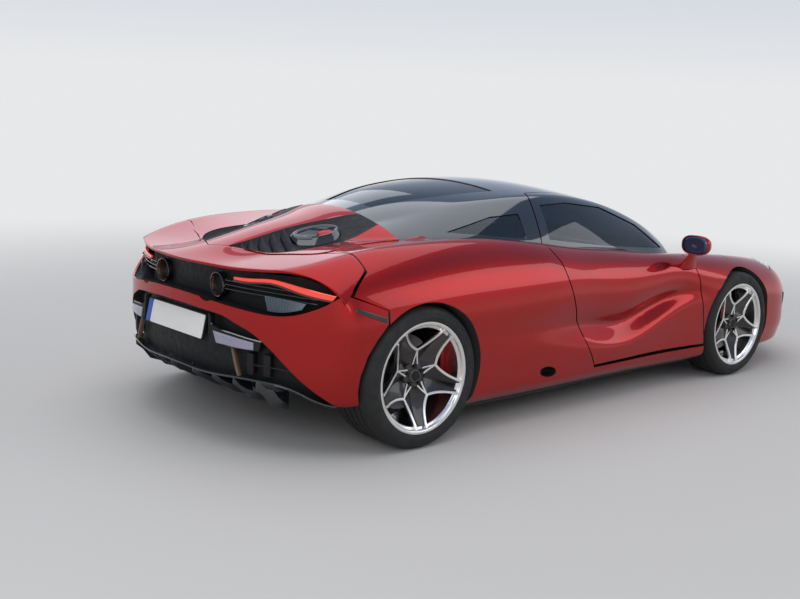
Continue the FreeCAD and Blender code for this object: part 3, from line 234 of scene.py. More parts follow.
# share of the wheelbase, offset | belt: half-width, height | roof edge: half-width, drop | drop at the
# middle
canopySections = [
    (0, -560, 120, 880, 80, 283, 275),
    (0, -200, 340, 910, 215, 238, 205),
    (0, 150, 545, 930, 330, 190, 132),
    (0, 500, 685, 930, 430, 118, 52),
    (0.337, 0, 755, 900, 515, 66, 6),
    (0.468, 0, 768, 865, 560, 54, 0),
    (0.6, 0, 760, 830, 575, 97, 50),
    (0.73, 0, 735, 792, 580, 195, 150),
    (1, -400, 665, 765, 545, 335, 278),
    (1, -215, 470, 735, 390, 415, 375),
    (1, -90, 200, 715, 170, 455, 435),
]
canopyRoot = 0.09
surfaceDetail = {"station": 0.015, "floor": 6, "sill": 5, "flank": 12, "channel": 8, "shoulder": 28,
                 "top": 50, "root": 5, "side": 20, "crown": 40, "softening": 3}


def splineThrough(places, values, at):
    # a natural cubic spline for every column of values
    steps = np.diff(places)
    count = len(places)
    matrix = np.eye(count)
    right = np.zeros(values.shape)
    for i in range(1, count - 1):
        matrix[i, i - 1:i + 2] = steps[i - 1], 2 * (steps[i - 1] + steps[i]), steps[i]
        right[i] = 6 * ((values[i + 1] - values[i]) / steps[i] - (values[i] - values[i - 1]) / steps[i - 1])
    bends = np.linalg.solve(matrix, right)
    span = np.clip(np.searchsorted(places, at) - 1, 0, count - 2)
    step = steps[span][:, None]
    before = (places[span + 1] - at)[:, None]
    after = (at - places[span])[:, None]
    curve = (bends[span] * before ** 3 + bends[span + 1] * after ** 3) / (6 * step)
    curve += (values[span] / step - bends[span] * step / 6) * before
    return curve + (values[span + 1] / step - bends[span + 1] * step / 6) * after


def straightRun(start, end, count):
    share = np.linspace(0, 1, count, endpoint=False)[:, None]
    return np.array(start) * (1 - share) + np.array(end) * share


def arcRun(start, middle, end, count):
    # points on the circle through three points, without the last
    a, b, c = (complex(*p) for p in (start, middle, end))
    w = (c - a) / (b - a)
    centre = (b - a) * (w - abs(w) ** 2) / (2j * w.imag) + a
    first, halfway, last = (np.angle(p - centre) for p in (a, b, c))
    turn = (last - first) % (2 * np.pi)
    if (halfway - first) % (2 * np.pi) > turn:
        turn -= 2 * np.pi
    spots = centre + abs(a - centre) * np.exp(1j * (first + turn * np.linspace(0, 1, count, endpoint=False)))
    return np.column_stack([spots.real, spots.imag])


def bowRun(start, topHeight, count):
    # from a shoulder to the middle of the car, level there
    across = np.linspace(start[0], 0, count)
    height = topHeight + (start[1] - topHeight) * (across / start[0]) ** 2
    return np.column_stack([across, height])


def lowerProfile(row):
    (floorZ, floorIn, sillIn, sillZ, creaseIn, creaseZ, valleyIn, valleyZ,
     bulgeIn, bulgeZ, crestIn, crestZ, topZ) = row
    half = car["halfWidth"]
    corners = [(0, floorZ), (half - floorIn, floorZ), (half - sillIn, sillZ), (half - creaseIn, creaseZ),
               (half - valleyIn, valleyZ)]
    counts = [surfaceDetail[key] for key in ("floor", "sill", "flank", "channel")]
    runs = [straightRun(a, b, count) for a, b, count in zip(corners, corners[1:], counts)]
    crest = (half - crestIn, crestZ)
    runs.append(arcRun(corners[-1], (half - bulgeIn, bulgeZ), crest, surfaceDetail["shoulder"]))
    runs.append(bowRun(crest, topZ, surfaceDetail["top"]))
    return np.vstack(runs)


def canopyProfile(row):
    beltHalf, beltZ, roofHalf, roofDrop, crownDrop = row
    belt = np.array((beltHalf, beltZ))
    edge = np.array((roofHalf, car["roofHeight"] - roofDrop))
    bow = 0.06 * np.linalg.norm(edge - belt)
    runs = [straightRun((beltHalf, beltZ - canopyRoot), belt, surfaceDetail["root"]),
            arcRun(belt, (belt + edge) / 2 + np.array((bow, bow * 0.4)), edge, surfaceDetail["side"]),
            bowRun(edge, car["roofHeight"] - crownDrop, surfaceDetail["crown"])]
    return np.vstack(runs)


# The spine that carries the roof's line back to the wing: how high it stands and how far it spreads.
spine = {"from": (-0.754, -0.6, -0.4, -0.2, 0.0, 0.15, 0.4), "foot": 0.78,
         "rise": (0.0, 0.036, 0.06, 0.082, 0.112, 0.143, 0.15),
         "half": (0.4, 0.32, 0.32, 0.37, 0.46, 0.56, 0.6), "power": (2.0, 1.8, 1.5, 1.3, 1.1, 1.0, 1.0)}
spinePlaces = np.linspace(spine["from"][0], spine["from"][-1], 120)
spineTable = np.array([spine[key] for key in ("rise", "half", "power")]).T
spineColumns = splineThrough(np.array(spine["from"]), spineTable, spinePlaces).T


def spineRise(x, across):
    rise, half, power = (np.interp(x - rearAxle, spinePlaces, column) for column in spineColumns)
    return max(rise, 0) * np.clip(1 - (across / half) ** 2, 0, 1) ** power


def formOf(sections, profile, withSpine=False):
    # the whole surface as a grid of points with outward normals, and a tree to find the nearest place on it
    places = np.array([rearAxle + row[0] * car["wheelbase"] + row[1] / 1000 for row in sections])
    values = np.array([row[2:] for row in sections]) / 1000
    stations = np.linspace(places[0], places[-1], int((places[-1] - places[0]) / surfaceDetail["station"]))
    rings = []
    for x, row in zip(stations, splineThrough(places, values, stations)):
        half = profile(row)
        whole = np.vstack([half, half[-2::-1] * (-1, 1)])
        for _ in range(surfaceDetail["softening"]):
            whole[1:-1] = (whole[:-2] + 2 * whole[1:-1] + whole[2:]) / 4
        if withSpine and spine["from"][0] < x - rearAxle < spine["from"][-1]:
            upper = whole[:, 1] > spine["foot"]
            whole[upper, 1] += spineRise(x, whole[upper, 0])
        rings.append(np.column_stack([np.full(len(whole), x), whole]))
    grid = np.array(rings)
    normals = np.cross(np.gradient(grid, axis=0), np.gradient(grid, axis=1))
    normals /= np.linalg.norm(normals, axis=2)[:, :, None] + 1e-12
    if (normals[:, grid.shape[1] // 2, 2] < 0).mean() > 0.5:
        normals = -normals
    rows, columns = grid.shape[:2]
    corner = (np.arange(rows - 1)[:, None] * columns + np.arange(columns - 1)).ravel()
    triangles = np.vstack([np.column_stack([corner, corner + columns, corner + 1]),
                           np.column_stack([corner + 1, corner + columns, corner + columns + 1])])
    points = grid.reshape(-1, 3)
    tree = BVHTree.FromPolygons(points.tolist(), triangles.tolist())
    return {"points": points, "normals": normals.reshape(-1, 3), "triangles": triangles, "tree": tree}


def nearestOn(form, places):
    # the nearest places, smooth normals there and distances
    found = [form["tree"].find_nearest(Vector(p)) for p in places]
    spots = np.array([hit[0] for hit in found])
    corners = form["triangles"][[hit[2] for hit in found]]
    a, b, c = (form["points"][corners[:, i]] for i in range(3))
    cross = np.cross(b - a, c - a)
    area = (cross ** 2).sum(1) + 1e-18
    shareB = (np.cross(spots - a, c - a) * cross).sum(1) / area
    shareC = (np.cross(b - a, spots - a) * cross).sum(1) / area
    shares = np.clip(np.column_stack([1 - shareB - shareC, shareB, shareC]), 0, 1)
    normals = sum(form["normals"][corners[:, i]] * shares[:, i:i + 1] for i in range(3))
    normals /= np.linalg.norm(normals, axis=1)[:, None] + 1e-12
    return spots, normals, np.linalg.norm(spots - places, axis=1)


lowerForm = formOf(lowerSections, lowerProfile, True)
canopyForm = formOf(canopySections, canopyProfile)
print("body form ready:", len(lowerForm["points"]) + len(canopyForm["points"]), "points")


# Small tools for modelling.
mergeDistance = 0.00002


def deselectAll():
    bpy.ops.object.select_all(action="DESELECT")


def makeActive(piece):
    deselectAll()
    piece.select_set(True)
    bpy.context.view_layer.objects.active = piece


def applyModifier(piece, kind, **settings):
    makeActive(piece)
    modifier = piece.modifiers.new(kind.title(), kind)
    for key, value in settings.items():
        setattr(modifier, key, value)
    bpy.ops.object.modifier_apply(modifier=modifier.name)


def dress(piece, body, finish, replaced=()):
    if finish:
        piece.data.materials.clear()
        piece.data.materials.append(finish)
    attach(piece, body)
    if replaced:
        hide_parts(*replaced)
    return piece


def smoothShade(piece, angle=35):
    makeActive(piece)
    bpy.ops.object.shade_smooth_by_angle(angle=math.radians(angle))


def tidyMesh(piece):
    # doubles merged and faces turned outwards
    makeActive(piece)
    bpy.ops.object.mode_set(mode="EDIT")
    bpy.ops.mesh.select_all(action="SELECT")
    bpy.ops.mesh.remove_doubles(threshold=mergeDistance)
    bpy.ops.mesh.normals_make_consistent(inside=False)
    bpy.ops.object.mode_set(mode="OBJECT")


def skinOf(name, points, wrap=False, cap=False, thick=0, offset=0, bevel=0, smooth=35):
    # a grid primitive whose vertices are pulled to their places, closed and thickened where asked
    points = np.array(points)
    rows, columns = points.shape[:2]
    deselectAll()
    bpy.ops.mesh.primitive_grid_add(x_subdivisions=columns - 1, y_subdivisions=rows - 1)
    piece = bpy.context.object
    piece.name = name
    piece.data.name = name
    piece.data.vertices.foreach_set("co", points.reshape(-1))
    piece.data.update()
    if wrap or cap:
        bpy.ops.object.mode_set(mode="EDIT")
        bpy.ops.mesh.select_mode(type="VERT")
        bpy.ops.mesh.select_all(action="SELECT")
        bpy.ops.mesh.remove_doubles(threshold=0.00001)
        if cap:
            bpy.ops.mesh.select_all(action="DESELECT")
            bpy.ops.mesh.select_non_manifold(extend=False)
            bpy.ops.mesh.fill_holes(sides=0)
        bpy.ops.mesh.select_all(action="SELECT")
        bpy.ops.mesh.normals_make_consistent(inside=False)
        bpy.ops.object.mode_set(mode="OBJECT")
    if thick:
        applyModifier(piece, "SOLIDIFY", thickness=thick, offset=offset)
        tidyMesh(piece)
    if bevel:
        applyModifier(piece, "BEVEL", width=bevel, segments=2, limit_method="ANGLE")
    smoothShade(piece, smooth)
    return piece


def turnedSkin(name, profile, centre, axis, steps=96, smooth=35):
    # a closed profile of (radius, height) pairs spun round an axis through the centre
    axis = Vector(axis).normalized()
    side = axis.orthogonal().normalized()
    deselectAll()
    bpy.ops.mesh.primitive_circle_add(vertices=len(profile), fill_type="NOTHING")
    piece = bpy.context.object
    piece.name = name
    for vertex, (radius, height) in zip(piece.data.vertices, profile):
        vertex.co = side * radius + axis * height
    bpy.ops.object.mode_set(mode="EDIT")
    bpy.ops.mesh.select_all(action="SELECT")
    bpy.ops.mesh.spin(steps=steps, angle=2 * math.pi, center=(0, 0, 0), axis=axis)
    bpy.ops.mesh.select_all(action="SELECT")
    bpy.ops.mesh.remove_doubles(threshold=mergeDistance)
    bpy.ops.mesh.normals_make_consistent(inside=False)
    bpy.ops.object.mode_set(mode="OBJECT")
    piece.data.transform(Matrix.Translation(Vector(centre)))
    smoothShade(piece, smooth)
    return piece


def join(name, pieces):
    deselectAll()
    for piece in pieces:
        piece.select_set(True)
    bpy.context.view_layer.objects.active = pieces[0]
    if len(pieces) > 1:
        bpy.ops.object.join()
    pieces[0].name = name
    pieces[0].data.name = name
    return pieces[0]


def copyOf(piece, name, matrix=None):
    twin = bpy.data.objects.new(name, piece.data.copy())
    bpy.context.collection.objects.link(twin)
    if matrix:
        twin.data.transform(matrix)
        if matrix.determinant() < 0:
            twin.data.flip_normals()
    return twin


acrossCar = Matrix.Scale(-1, 4, (0, 1, 0))


def bothSides(name, piece):
    return join(name, [piece, copyOf(piece, name + "Right", acrossCar)])


# Panels: the frame's own panels, refined so that their outer faces follow the body's form.
panelWork = {"nearForm": 0.018, "farForm": 0.035, "facing": 0.6, "longestEdge": 0.028, "linerDepth": 0.012,
             "linerFacing": 0.5, "noseDepth": 0.08, "ease": 0.0011,
             "paneDepth": 0.005, "paneThickness": 0.006, "paneFacing": 0.7}


def splitLongEdges(mesh, faces, longest, rounds=4):
    for _ in range(rounds):
        edges = {e for f in faces for e in f.edges if e.calc_length() > longest}
        if not edges:
            break
        inside = mesh.faces.layers.int["outer"]
        bmesh.ops.subdivide_edges(mesh, edges=list(edges), cuts=1)
        bmesh.ops.triangulate(mesh, faces=[f for f in mesh.faces if len(f.verts) > 3])
        faces = [f for f in mesh.faces if f[inside]]


def outerFaces(points, faces, facing, forms, near):
    # for each face the number of the form it lies on, or 0
    hits = [nearestOn(form, points) for form in forms]
    kind = np.zeros(len(faces), int)
    best = np.full(len(faces), near)
    for number, (spots, normals, away) in enumerate(hits, start=1):
        worst = np.array([away[list(face)].max() for face in faces])
        meanNormal = np.array([normals[list(face)].mean(0) for face in faces])
        fits = (worst < best) & ((meanNormal * facing).sum(1) > panelWork["facing"])
        kind[fits] = number
        best[fits] = worst[fits]
    return kind


def meshArrays(mesh):
    points = np.array([v.co for v in mesh.verts])
    faces = [[v.index for v in f.verts] for f in mesh.faces]
    facing = np.array([f.normal for f in mesh.faces])
    centres = np.array([f.calc_center_median() for f in mesh.faces])
    return points, faces, centres, facing


def snapToCircle(points, chosen, centre, radius, slack=0.004):
    # x and z onto a circle seen from the side
    gap = points[:, [0, 2]] - np.array(centre)
    reach = np.linalg.norm(gap, axis=1)
    near = chosen & (abs(reach - radius) < slack)
    points[near, 0] = centre[0] + gap[near, 0] / reach[near] * radius
    points[near, 2] = centre[1] + gap[near, 1] / reach[near] * radius


def panelFrom(node, name, forms, near, cutters=()):
    # a merged copy of the frame's panel, cut, refined and laid on the form
    piece = bpy.data.objects.new(name, nodes[node].data.copy())
    bpy.context.collection.objects.link(piece)
    tidyCopy = bmesh.new()
    tidyCopy.from_mesh(piece.data)
    bmesh.ops.remove_doubles(tidyCopy, verts=tidyCopy.verts, dist=mergeDistance)
    bmesh.ops.dissolve_degenerate(tidyCopy, dist=0.00001, edges=tidyCopy.edges)
    tidyCopy.to_mesh(piece.data)
    tidyCopy.free()
    for cutter in cutters:
        applyModifier(piece, "BOOLEAN", operation="DIFFERENCE", solver="EXACT", object=cutter)
    mesh = bmesh.new()
    mesh.from_mesh(piece.data)
    bmesh.ops.triangulate(mesh, faces=mesh.faces)
    mesh.normal_update()
    points, faces, centres, facing = meshArrays(mesh)
    kind = outerFaces(points, faces, facing, forms, near)
    layer = mesh.faces.layers.int.new("outer")
    for face, number in zip(mesh.faces, kind):
        face[layer] = int(number)
    splitLongEdges(mesh, [f for f in mesh.faces if f[layer]], panelWork["longestEdge"])
    mesh.normal_update()
    mesh.verts.index_update()
    points, faces, centres, facing = meshArrays(mesh)
    kind = np.array([f[layer] for f in mesh.faces])
    hits = [nearestOn(form, points) for form in forms]
    target = np.zeros(points.shape)
    weight = np.zeros(len(points))
    for number, (spots, normals, away) in enumerate(hits, start=1):
        mine = np.unique([i for f, k in zip(faces, kind) if k == number for i in f]).astype(int)
        target[mine] += spots[mine]
        weight[mine] += 1
    onForm = weight > 0
    moved = points.copy()
    moved[onForm] = target[onForm] / weight[onForm][:, None]
    openSeams(mesh, kind, moved, onForm)
    for x, z, radius in ((frontAxle, car["frontRadius"], car["frontArch"]),
                         (rearAxle, car["rearRadius"], car["rearArch"])):
        snapToCircle(moved, onForm, (x, z), radius)
    moved = np.clip(moved, cadLow, cadHigh)
    for vertex, place in zip(mesh.verts, moved):
        vertex.co = place
    under = [nearestOn(form, centres) for form in forms]
    depth = np.min([away for spots, normals, away in under], axis=0)
    outwards = np.max([(normals * facing).sum(1) for spots, normals, away in under], axis=0)
    inner = (kind == 0) & (depth > panelWork["linerDepth"]) & (outwards < panelWork["linerFacing"])
    inner &= (centres[:, 0] < cadHigh[0] - panelWork["noseDepth"]) | (facing[:, 0] < 0)
    zones = np.where(inner, 1, np.where(kind == 2, 2, 0))
    mesh.to_mesh(piece.data)
    mesh.free()
    smoothShade(piece, 30)
    setFormNormals(piece, faces, kind, hits)
    return piece, zones


def openSeams(mesh, kind, moved, onForm):
    # the rim of every outer patch drawn in a little, so that the seams read as fine dark lines
    shift = np.zeros(moved.shape)
    for edge in mesh.edges:
        sides = [f for f in edge.link_faces if kind[f.index]]
        if len(sides) != 1 or len(edge.link_faces) != 2:
            continue
        inward = sides[0].calc_center_median() - (edge.verts[0].co + edge.verts[1].co) / 2
        along = (edge.verts[1].co - edge.verts[0].co).normalized()
        inward -= along * inward.dot(along)
        inward.normalize()
        for vertex in edge.verts:
            shift[vertex.index] += inward
    length = np.linalg.norm(shift, axis=1)
    rim = (length > 1e-6) & onForm
    moved[rim] += shift[rim] / length[rim][:, None] * panelWork["ease"]


def setFormNormals(piece, faces, kind, hits):
    mesh = piece.data
    corners = np.zeros((len(mesh.loops), 3))
    start = 0
    for face, number in zip(faces, kind):
        if number:
            corners[start:start + len(face)] = hits[number - 1][1][face]
        start += len(face)
    mesh.normals_split_custom_set(corners.tolist())


def paneFrom(node, name):
    # a window's glass: its outer and inner faces both follow the canopy
    piece = bpy.data.objects.new(name, nodes[node].data.copy())
    bpy.context.collection.objects.link(piece)
    mesh = bmesh.new()
    mesh.from_mesh(piece.data)
    bmesh.ops.remove_doubles(mesh, verts=mesh.verts, dist=mergeDistance)
    bmesh.ops.triangulate(mesh, faces=mesh.faces)
    layer = mesh.faces.layers.int.new("outer")
    for face in mesh.faces:
        face[layer] = 1
    splitLongEdges(mesh, list(mesh.faces), panelWork["longestEdge"])
    mesh.normal_update()
    mesh.verts.index_update()
    points, faces, centres, facing = meshArrays(mesh)
    spots, normals, away = nearestOn(canopyForm, points)
    outside = (np.array([v.normal for v in mesh.verts]) * normals).sum(1) > 0
    depth = np.where(outside, panelWork["paneDepth"], panelWork["paneDepth"] + panelWork["paneThickness"])
    for vertex, place in zip(mesh.verts, spots - normals * depth[:, None]):
        vertex.co = place
        vertex.normal_update()
    meanNormal = np.array([normals[face].mean(0) for face in faces])
    along = (meanNormal * facing).sum(1)
    limit = panelWork["paneFacing"]
    kind = np.where(along > limit, 1, np.where(along < -limit, 2, 0))
    for face in mesh.faces:
        face.smooth = True
    mesh.to_mesh(piece.data)
    mesh.free()
    smoothShade(piece, 30)
    setFormNormals(piece, faces, kind, [(spots, normals, away), (spots, -normals, away)])
    return piece


# Openings in the sides, as (ahead of the rear axle, height) round each rim, cut into their panels.
def ovalRim(centre, half, tilt, count=40):
    turns = np.linspace(0, 2 * math.pi, count, endpoint=False)
    along, up = half[0] * np.cos(turns), half[1] * np.sin(turns)
    return np.column_stack([centre[0] + along - up * tilt, centre[1] + up + along * tilt])


def softRim(corners, count=48, rounds=4):
    # a closed outline with its corners rounded off
    corners = np.array(corners + corners[:1])
    share = np.concatenate([[0], np.cumsum(np.linalg.norm(np.diff(corners, axis=0), axis=1))])
    places = np.linspace(0, share[-1], count, endpoint=False)
    rim = np.column_stack([np.interp(places, share, column) for column in corners.T])
    for _ in range(rounds):
        rim = (np.roll(rim, 1, axis=0) + 2 * rim + np.roll(rim, -1, axis=0)) / 4
    return rim


farOut = 1.6
bowl = {"cutFrom": 0.74, "cutTo": 1.02, "thickness": 0.002,
        # reach from the opening's middle, share of the depth, added depth
        "rings": [(1.03, 0, 0.006), (1.01, 0, 0.012), (0.97, 0.7, 0), (0.8, 1, 0), (0.4, 1, 0),
                  (0.01, 1, 0)]}
openings = {
    "quarters": {"rim": ovalRim((0.892, 0.257), (0.064, 0.027), -0.16), "depth": 0.05},
    "front_clamshell": {"rim": softRim([(3.262, 0.478), (3.372, 0.452), (3.412, 0.345), (3.362, 0.232),
                                        (3.318, 0.33)]), "depth": 0.07},
}


def sideCutter(rim):
    # a prism across the car through both sides
    pieces = []
    for sign in (1, -1):
        closed = np.vstack([rim, rim[:1]])
        rows = [[(fromRear(x), sign * y, z) for x, z in closed] for y in (bowl["cutFrom"], bowl["cutTo"])]
        pieces.append(skinOf("cutter", rows, wrap=True, cap=True))
    return join("cutter", pieces)


def sideBowl(name, rim, depth):
    # a dark bowl behind an opening, from the panel's rim inwards
    middle = rim.mean(0)
    rows = []
    for reach, share, added in bowl["rings"]:
        row = []
        for x, z in np.vstack([rim, rim[:1]]):
            hit = lowerForm["tree"].ray_cast(Vector((fromRear(x), farOut, z)), Vector((0, -1, 0)))
            x, z = middle + (np.array((x, z)) - middle) * reach
            row.append((fromRear(x), hit[0].y - (depth * share + added), z))
        rows.append(row)
    return skinOf(name, rows, wrap=True, thick=bowl["thickness"], smooth=50)


# node, body, finish, slot, forms, finish of what lies on the second form
bothForms = (lowerForm, canopyForm)
panels = [
    ("quarters", "shell", bodyPaint, "paint", (lowerForm,), bodyPaint),
    ("fenders", "shell", bodyPaint, "paint", (lowerForm,), bodyPaint),
    ("front_clamshell", "shell", bodyPaint, "paint", (lowerForm,), bodyPaint),
    ("bonnet", "lid", bodyPaint, "paint", (lowerForm,), bodyPaint),
    ("door_left", "door_left_leaf", bodyPaint, "paint", bothForms, glossBlack),
    ("door_right", "door_right_leaf", bodyPaint, "paint", bothForms, glossBlack),
    ("roof", "shell", glossBlack, "black_gloss", (canopyForm,), glossBlack),
]
for node, body, finish, slotName, forms, upperFinish in panels:
    near = panelWork["farForm"] if node == "quarters" else panelWork["nearForm"]
    cutters = [sideCutter(openings[node]["rim"])] if node in openings else []
    panel, zones = panelFrom(node, "panel_" + node, forms, near, cutters)
    for cutter in cutters:
        bpy.data.objects.remove(cutter)
    dress(panel, body, finish, (node,))
    for extra in (darkPlastic, upperFinish):
        panel.data.materials.append(extra)
    panel.data.polygons.foreach_set("material_index", zones.astype(np.int32))
    print("panel", node, len(panel.data.polygons))
panes = [("windscreen", "shell"), ("rear_glass", "shell"), ("door_glass_left", "door_left_leaf"),
         ("door_glass_right", "door_right_leaf")]
for node, body in panes:
    dress(paneFrom(node, "pane_" + node), body, tintedGlass, (node,))
    print("pane", node)


for node, name in (("quarters", "sideVents"), ("front_clamshell", "noseIntakes")):
    lining = sideBowl(name, openings[node]["rim"], openings[node]["depth"])
    dress(bothSides(name, lining), "shell", darkPlastic)
print("side openings")


# Rear deck: a red spine between two dark vents, with louvres and an oval scoop in each.
deck = {
    # a vent's inner edge, its outer edge and the deck's outer edge, as (ahead of the rear axle, from the
    # middle)
    "inner": [(-0.572, 0.1), (-0.5, 0.108), (-0.42, 0.112), (-0.33, 0.115), (-0.22, 0.122), (-0.08, 0.15),
              (0.06, 0.2), (0.149, 0.24)],
    "outer": [(-0.55, 0.118), (-0.5, 0.205), (-0.44, 0.305), (-0.375, 0.378), (-0.29, 0.412), (-0.135, 0.41),
              (0.06, 0.41), (0.149, 0.4)],
    "rim": [(-0.534, 0.132), (-0.495, 0.215), (-0.45, 0.312), (-0.4, 0.42), (-0.336, 0.559), (-0.1, 0.559),
            (0.06, 0.559), (0.149, 0.559)],
    "depth": [0.012, 0.026, 0.034, 0.036, 0.034, 0.026, 0.012, 0.001],
    "skin": 0.004, "floorDrop": 0.0015, "floorThickness": 0.003,
    # the wing's edge over the spine: from the middle, ahead of the rear axle, and how far it is followed
    "wingEdge": ((0, 0.67), (-0.593, -0.283)), "wingReach": 0.2,
}


def topHeight(x, y):
    # the body's upper surface from above
    hit = lowerForm["tree"].ray_cast(Vector((x, y, farOut)), Vector((0, 0, -1)))
    return hit[0].z


def smoothLine(points, count):
    points = np.array(points, float)
    share = np.concatenate([[0], np.cumsum(np.linalg.norm(np.diff(points, axis=0), axis=1))])
    return splineThrough(share / share[-1], points, np.linspace(0, 1, count))


def deckPoint(x, y, drop=0.0):
    return (fromRear(x), y, topHeight(fromRear(x), y) - drop)


def deckStrip(first, second, columns, drop=None, rows=48):
    # a surface laid between two lines seen from above, sunk by drop between them
    a, b = smoothLine(first, rows), smoothLine(second, rows)
    sink = np.interp(np.linspace(0, 1, rows), np.linspace(0, 1, len(deck["depth"])), deck["depth"])
    points = []
    for row in range(rows):
        ring = []
        for share in np.linspace(0, 1, columns):
            x, y = a[row] * (1 - share) + b[row] * share
            well = 0 if drop is None else sink[row] * (1 - abs(2 * share - 1) ** 4)
            ring.append(deckPoint(x, y, well + (drop or 0)))
        points.append(ring)
    return np.array(points)


spineLines = (deck["inner"], [(x, -y) for x, y in deck["inner"]])
spinePoints = deckStrip(*spineLines, 41)
edgeY, edgeX = deck["wingEdge"]
wingEdge = np.interp(abs(spinePoints[0, :, 1]), edgeY, [fromRear(x) for x in edgeX])
start = spinePoints[0, :, 0].mean()
for column in range(spinePoints.shape[1]):
    # the rear end follows the wing's edge
    pull = np.clip(1 - (spinePoints[:, column, 0] - start) / deck["wingReach"], 0, 1)
    spinePoints[:, column, 0] += pull * (wingEdge[column] - start)
    for row in np.nonzero(pull > 0)[0]:
        x, y = spinePoints[row, column, :2]
        spinePoints[row, column, 2] = topHeight(x, y)
deckSpine = skinOf("deckSpine", spinePoints, thick=deck["skin"], offset=-1, smooth=60)
dress(deckSpine, "shell", bodyPaint, ("rear_deck",))

shoulder = skinOf("shoulder", deckStrip(deck["outer"], deck["rim"], 9), thick=deck["skin"], offset=-1,
                  smooth=60)
dress(bothSides("deckShoulders", shoulder), "shell", bodyPaint)
ventFloor = skinOf("ventFloor", deckStrip(deck["inner"], deck["outer"], 17, deck["floorDrop"]),
                   thick=deck["floorThickness"], offset=-1, smooth=60)
dress(bothSides("deckVentWells", ventFloor), "shell", darkPlastic)

# louvres: each leans back and stops short of the vent's outer edge
louvre = {"count": 5, "linePoints": 60, "firstRow": 8, "lastRow": 27, "reach": 0.8, "columns": 12,
          "thickness": 0.0035, "bevel": 0.0008, "sweep": 0.03, "drop": 0.001, "fall": 0.004,
          # a blade's section: lean back, drop
          "section": [(0.0, 0.0), (-0.012, 0.007), (-0.024, 0.015), (-0.034, 0.024)]}
louvres = []
innerLine, outerLine = (smoothLine(deck[edge], louvre["linePoints"]) for edge in ("inner", "outer"))
for row in np.linspace(louvre["firstRow"], louvre["lastRow"], louvre["count"]).astype(int):
    blade = []
    for share in np.linspace(0.0, louvre["reach"], louvre["columns"]):
        x, y = innerLine[row] * (1 - share) + outerLine[row] * share
        blade.append([deckPoint(x + lean - louvre["sweep"] * share, y,
                                louvre["drop"] + drop + louvre["fall"] * share)
                      for lean, drop in louvre["section"]])
    louvres.append(skinOf("louvre", blade, thick=louvre["thickness"], bevel=louvre["bevel"], smooth=40))
dress(bothSides("deckLouvres", join("louvres", louvres)), "shell", darkPlastic)

# scoops: an oval ring with a painted insert; its sections give the reach from the oval's middle and the lift
scoop = {"turn": 28, "lift": 0.012, "frontRise": 0.35,
         "ring": {"centre": (-0.135, 0.252), "length": 0.11, "width": 0.055, "steps": 65,
                  "section": [(1.22, -0.034), (1.15, 0.004), (1.0, 0.02), (0.93, 0.0195), (0.84, 0.01),
                              (0.7, -0.012), (0.3, -0.016), (0.02, -0.016)]},
         "insert": {"centre": (-0.085, 0.278), "length": 0.05, "width": 0.036, "steps": 49,
                    "section": [(1.0, -0.012), (0.98, 0.002), (0.8, 0.008), (0.4, 0.012), (0.01, 0.013)]}}


def ovalOnDeck(part, rise):
    # rings of places on the part's turned oval, seen from above
    lean = math.radians(scoop["turn"])
    rows = []
    for turn in np.linspace(0, 2 * math.pi, part["steps"]):
        row = []
        for reach, lift in part["section"]:
            along, across = math.cos(turn) * part["length"] * reach, math.sin(turn) * part["width"] * reach
            x = part["centre"][0] + along * math.cos(lean) - across * math.sin(lean)
            y = part["centre"][1] + along * math.sin(lean) + across * math.cos(lean)
            row.append(deckPoint(x, y, scoop["lift"] - lift * (1.0 + rise * math.cos(turn))))
        rows.append(row)
    return rows


scoopRing = skinOf("scoop", ovalOnDeck(scoop["ring"], scoop["frontRise"]), wrap=True, smooth=50)
dress(bothSides("deckScoops", scoopRing), "shell", glossBlack)
insert = skinOf("scoopInsert", ovalOnDeck(scoop["insert"], 0), wrap=True, smooth=60)
dress(bothSides("deckScoopInserts", insert), "shell", bodyPaint)
print("rear deck")


# Rear wing: a thin skin from its V-shaped leading edge to its bowed trailing edge, on two struts.
rearWing = {
    # leading edge: ahead of the rear axle, from the middle, height | trailing edge: the same
    "edges": [(-0.597, 0.0, 0, -0.754, 0.0, 0), (-0.5045, 0.2, 0, -0.74, 0.2, 0),
              (-0.412, 0.4, 0, -0.694, 0.4, 0), (-0.3355, 0.565, 0, -0.628, 0.58, 0),
              (-0.292, 0.67, 0, -0.566, 0.695, 0), (-0.29, 0.76, 0, -0.515, 0.775, 0),
              (-0.289, 0.832, 0, -0.48, 0.832, 0), (-0.33, 0.85, 0, -0.462, 0.86, 0),
              (-0.378, 0.8685, 0, -0.451, 0.878, 0), (-0.43, 0.889, 0, -0.443, 0.89, 0)],
    "spanPoints": 161, "chordPoints": 21, "thickness": 0.012, "bevel": 0.0015,
    "strutAt": (-0.56, 0.4, 0.85), "slide": (-0.2588, 0, 0.9659),
    # a strut's profile: radius, height along the slide
    "strut": [(0, -0.3), (0.01, -0.3), (0.012, -0.298), (0.012, -0.012), (0.03, -0.01), (0.032, -0.006),
              (0, -0.006)],
}
wingLines = []
for row in rearWing["edges"]:
    line = []
    for x, y, z in (row[:3], row[3:]):
        line += [x, y, z or topHeight(fromRear(x), y)]
    wingLines.append(line)
wingLines = np.array(wingLines)
wingLines = np.vstack([wingLines[:0:-1] * (1, -1, 1, 1, -1, 1), wingLines])
spanShare = np.arange(len(wingLines), dtype=float)
spanFine = np.linspace(0, spanShare[-1], rearWing["spanPoints"])
leading = np.column_stack([np.interp(spanFine, spanShare, column) for column in wingLines[:, :3].T])
trailing = splineThrough(spanShare, wingLines[:, 3:], spanFine)
chord = np.linspace(0, 1, rearWing["chordPoints"])
wingGrid = np.array([leading * (1 - share) + trailing * share for share in chord])
wingGrid[:, :, 0] += rearAxle
wingSpots, _, _ = nearestOn(lowerForm, wingGrid.reshape(-1, 3))
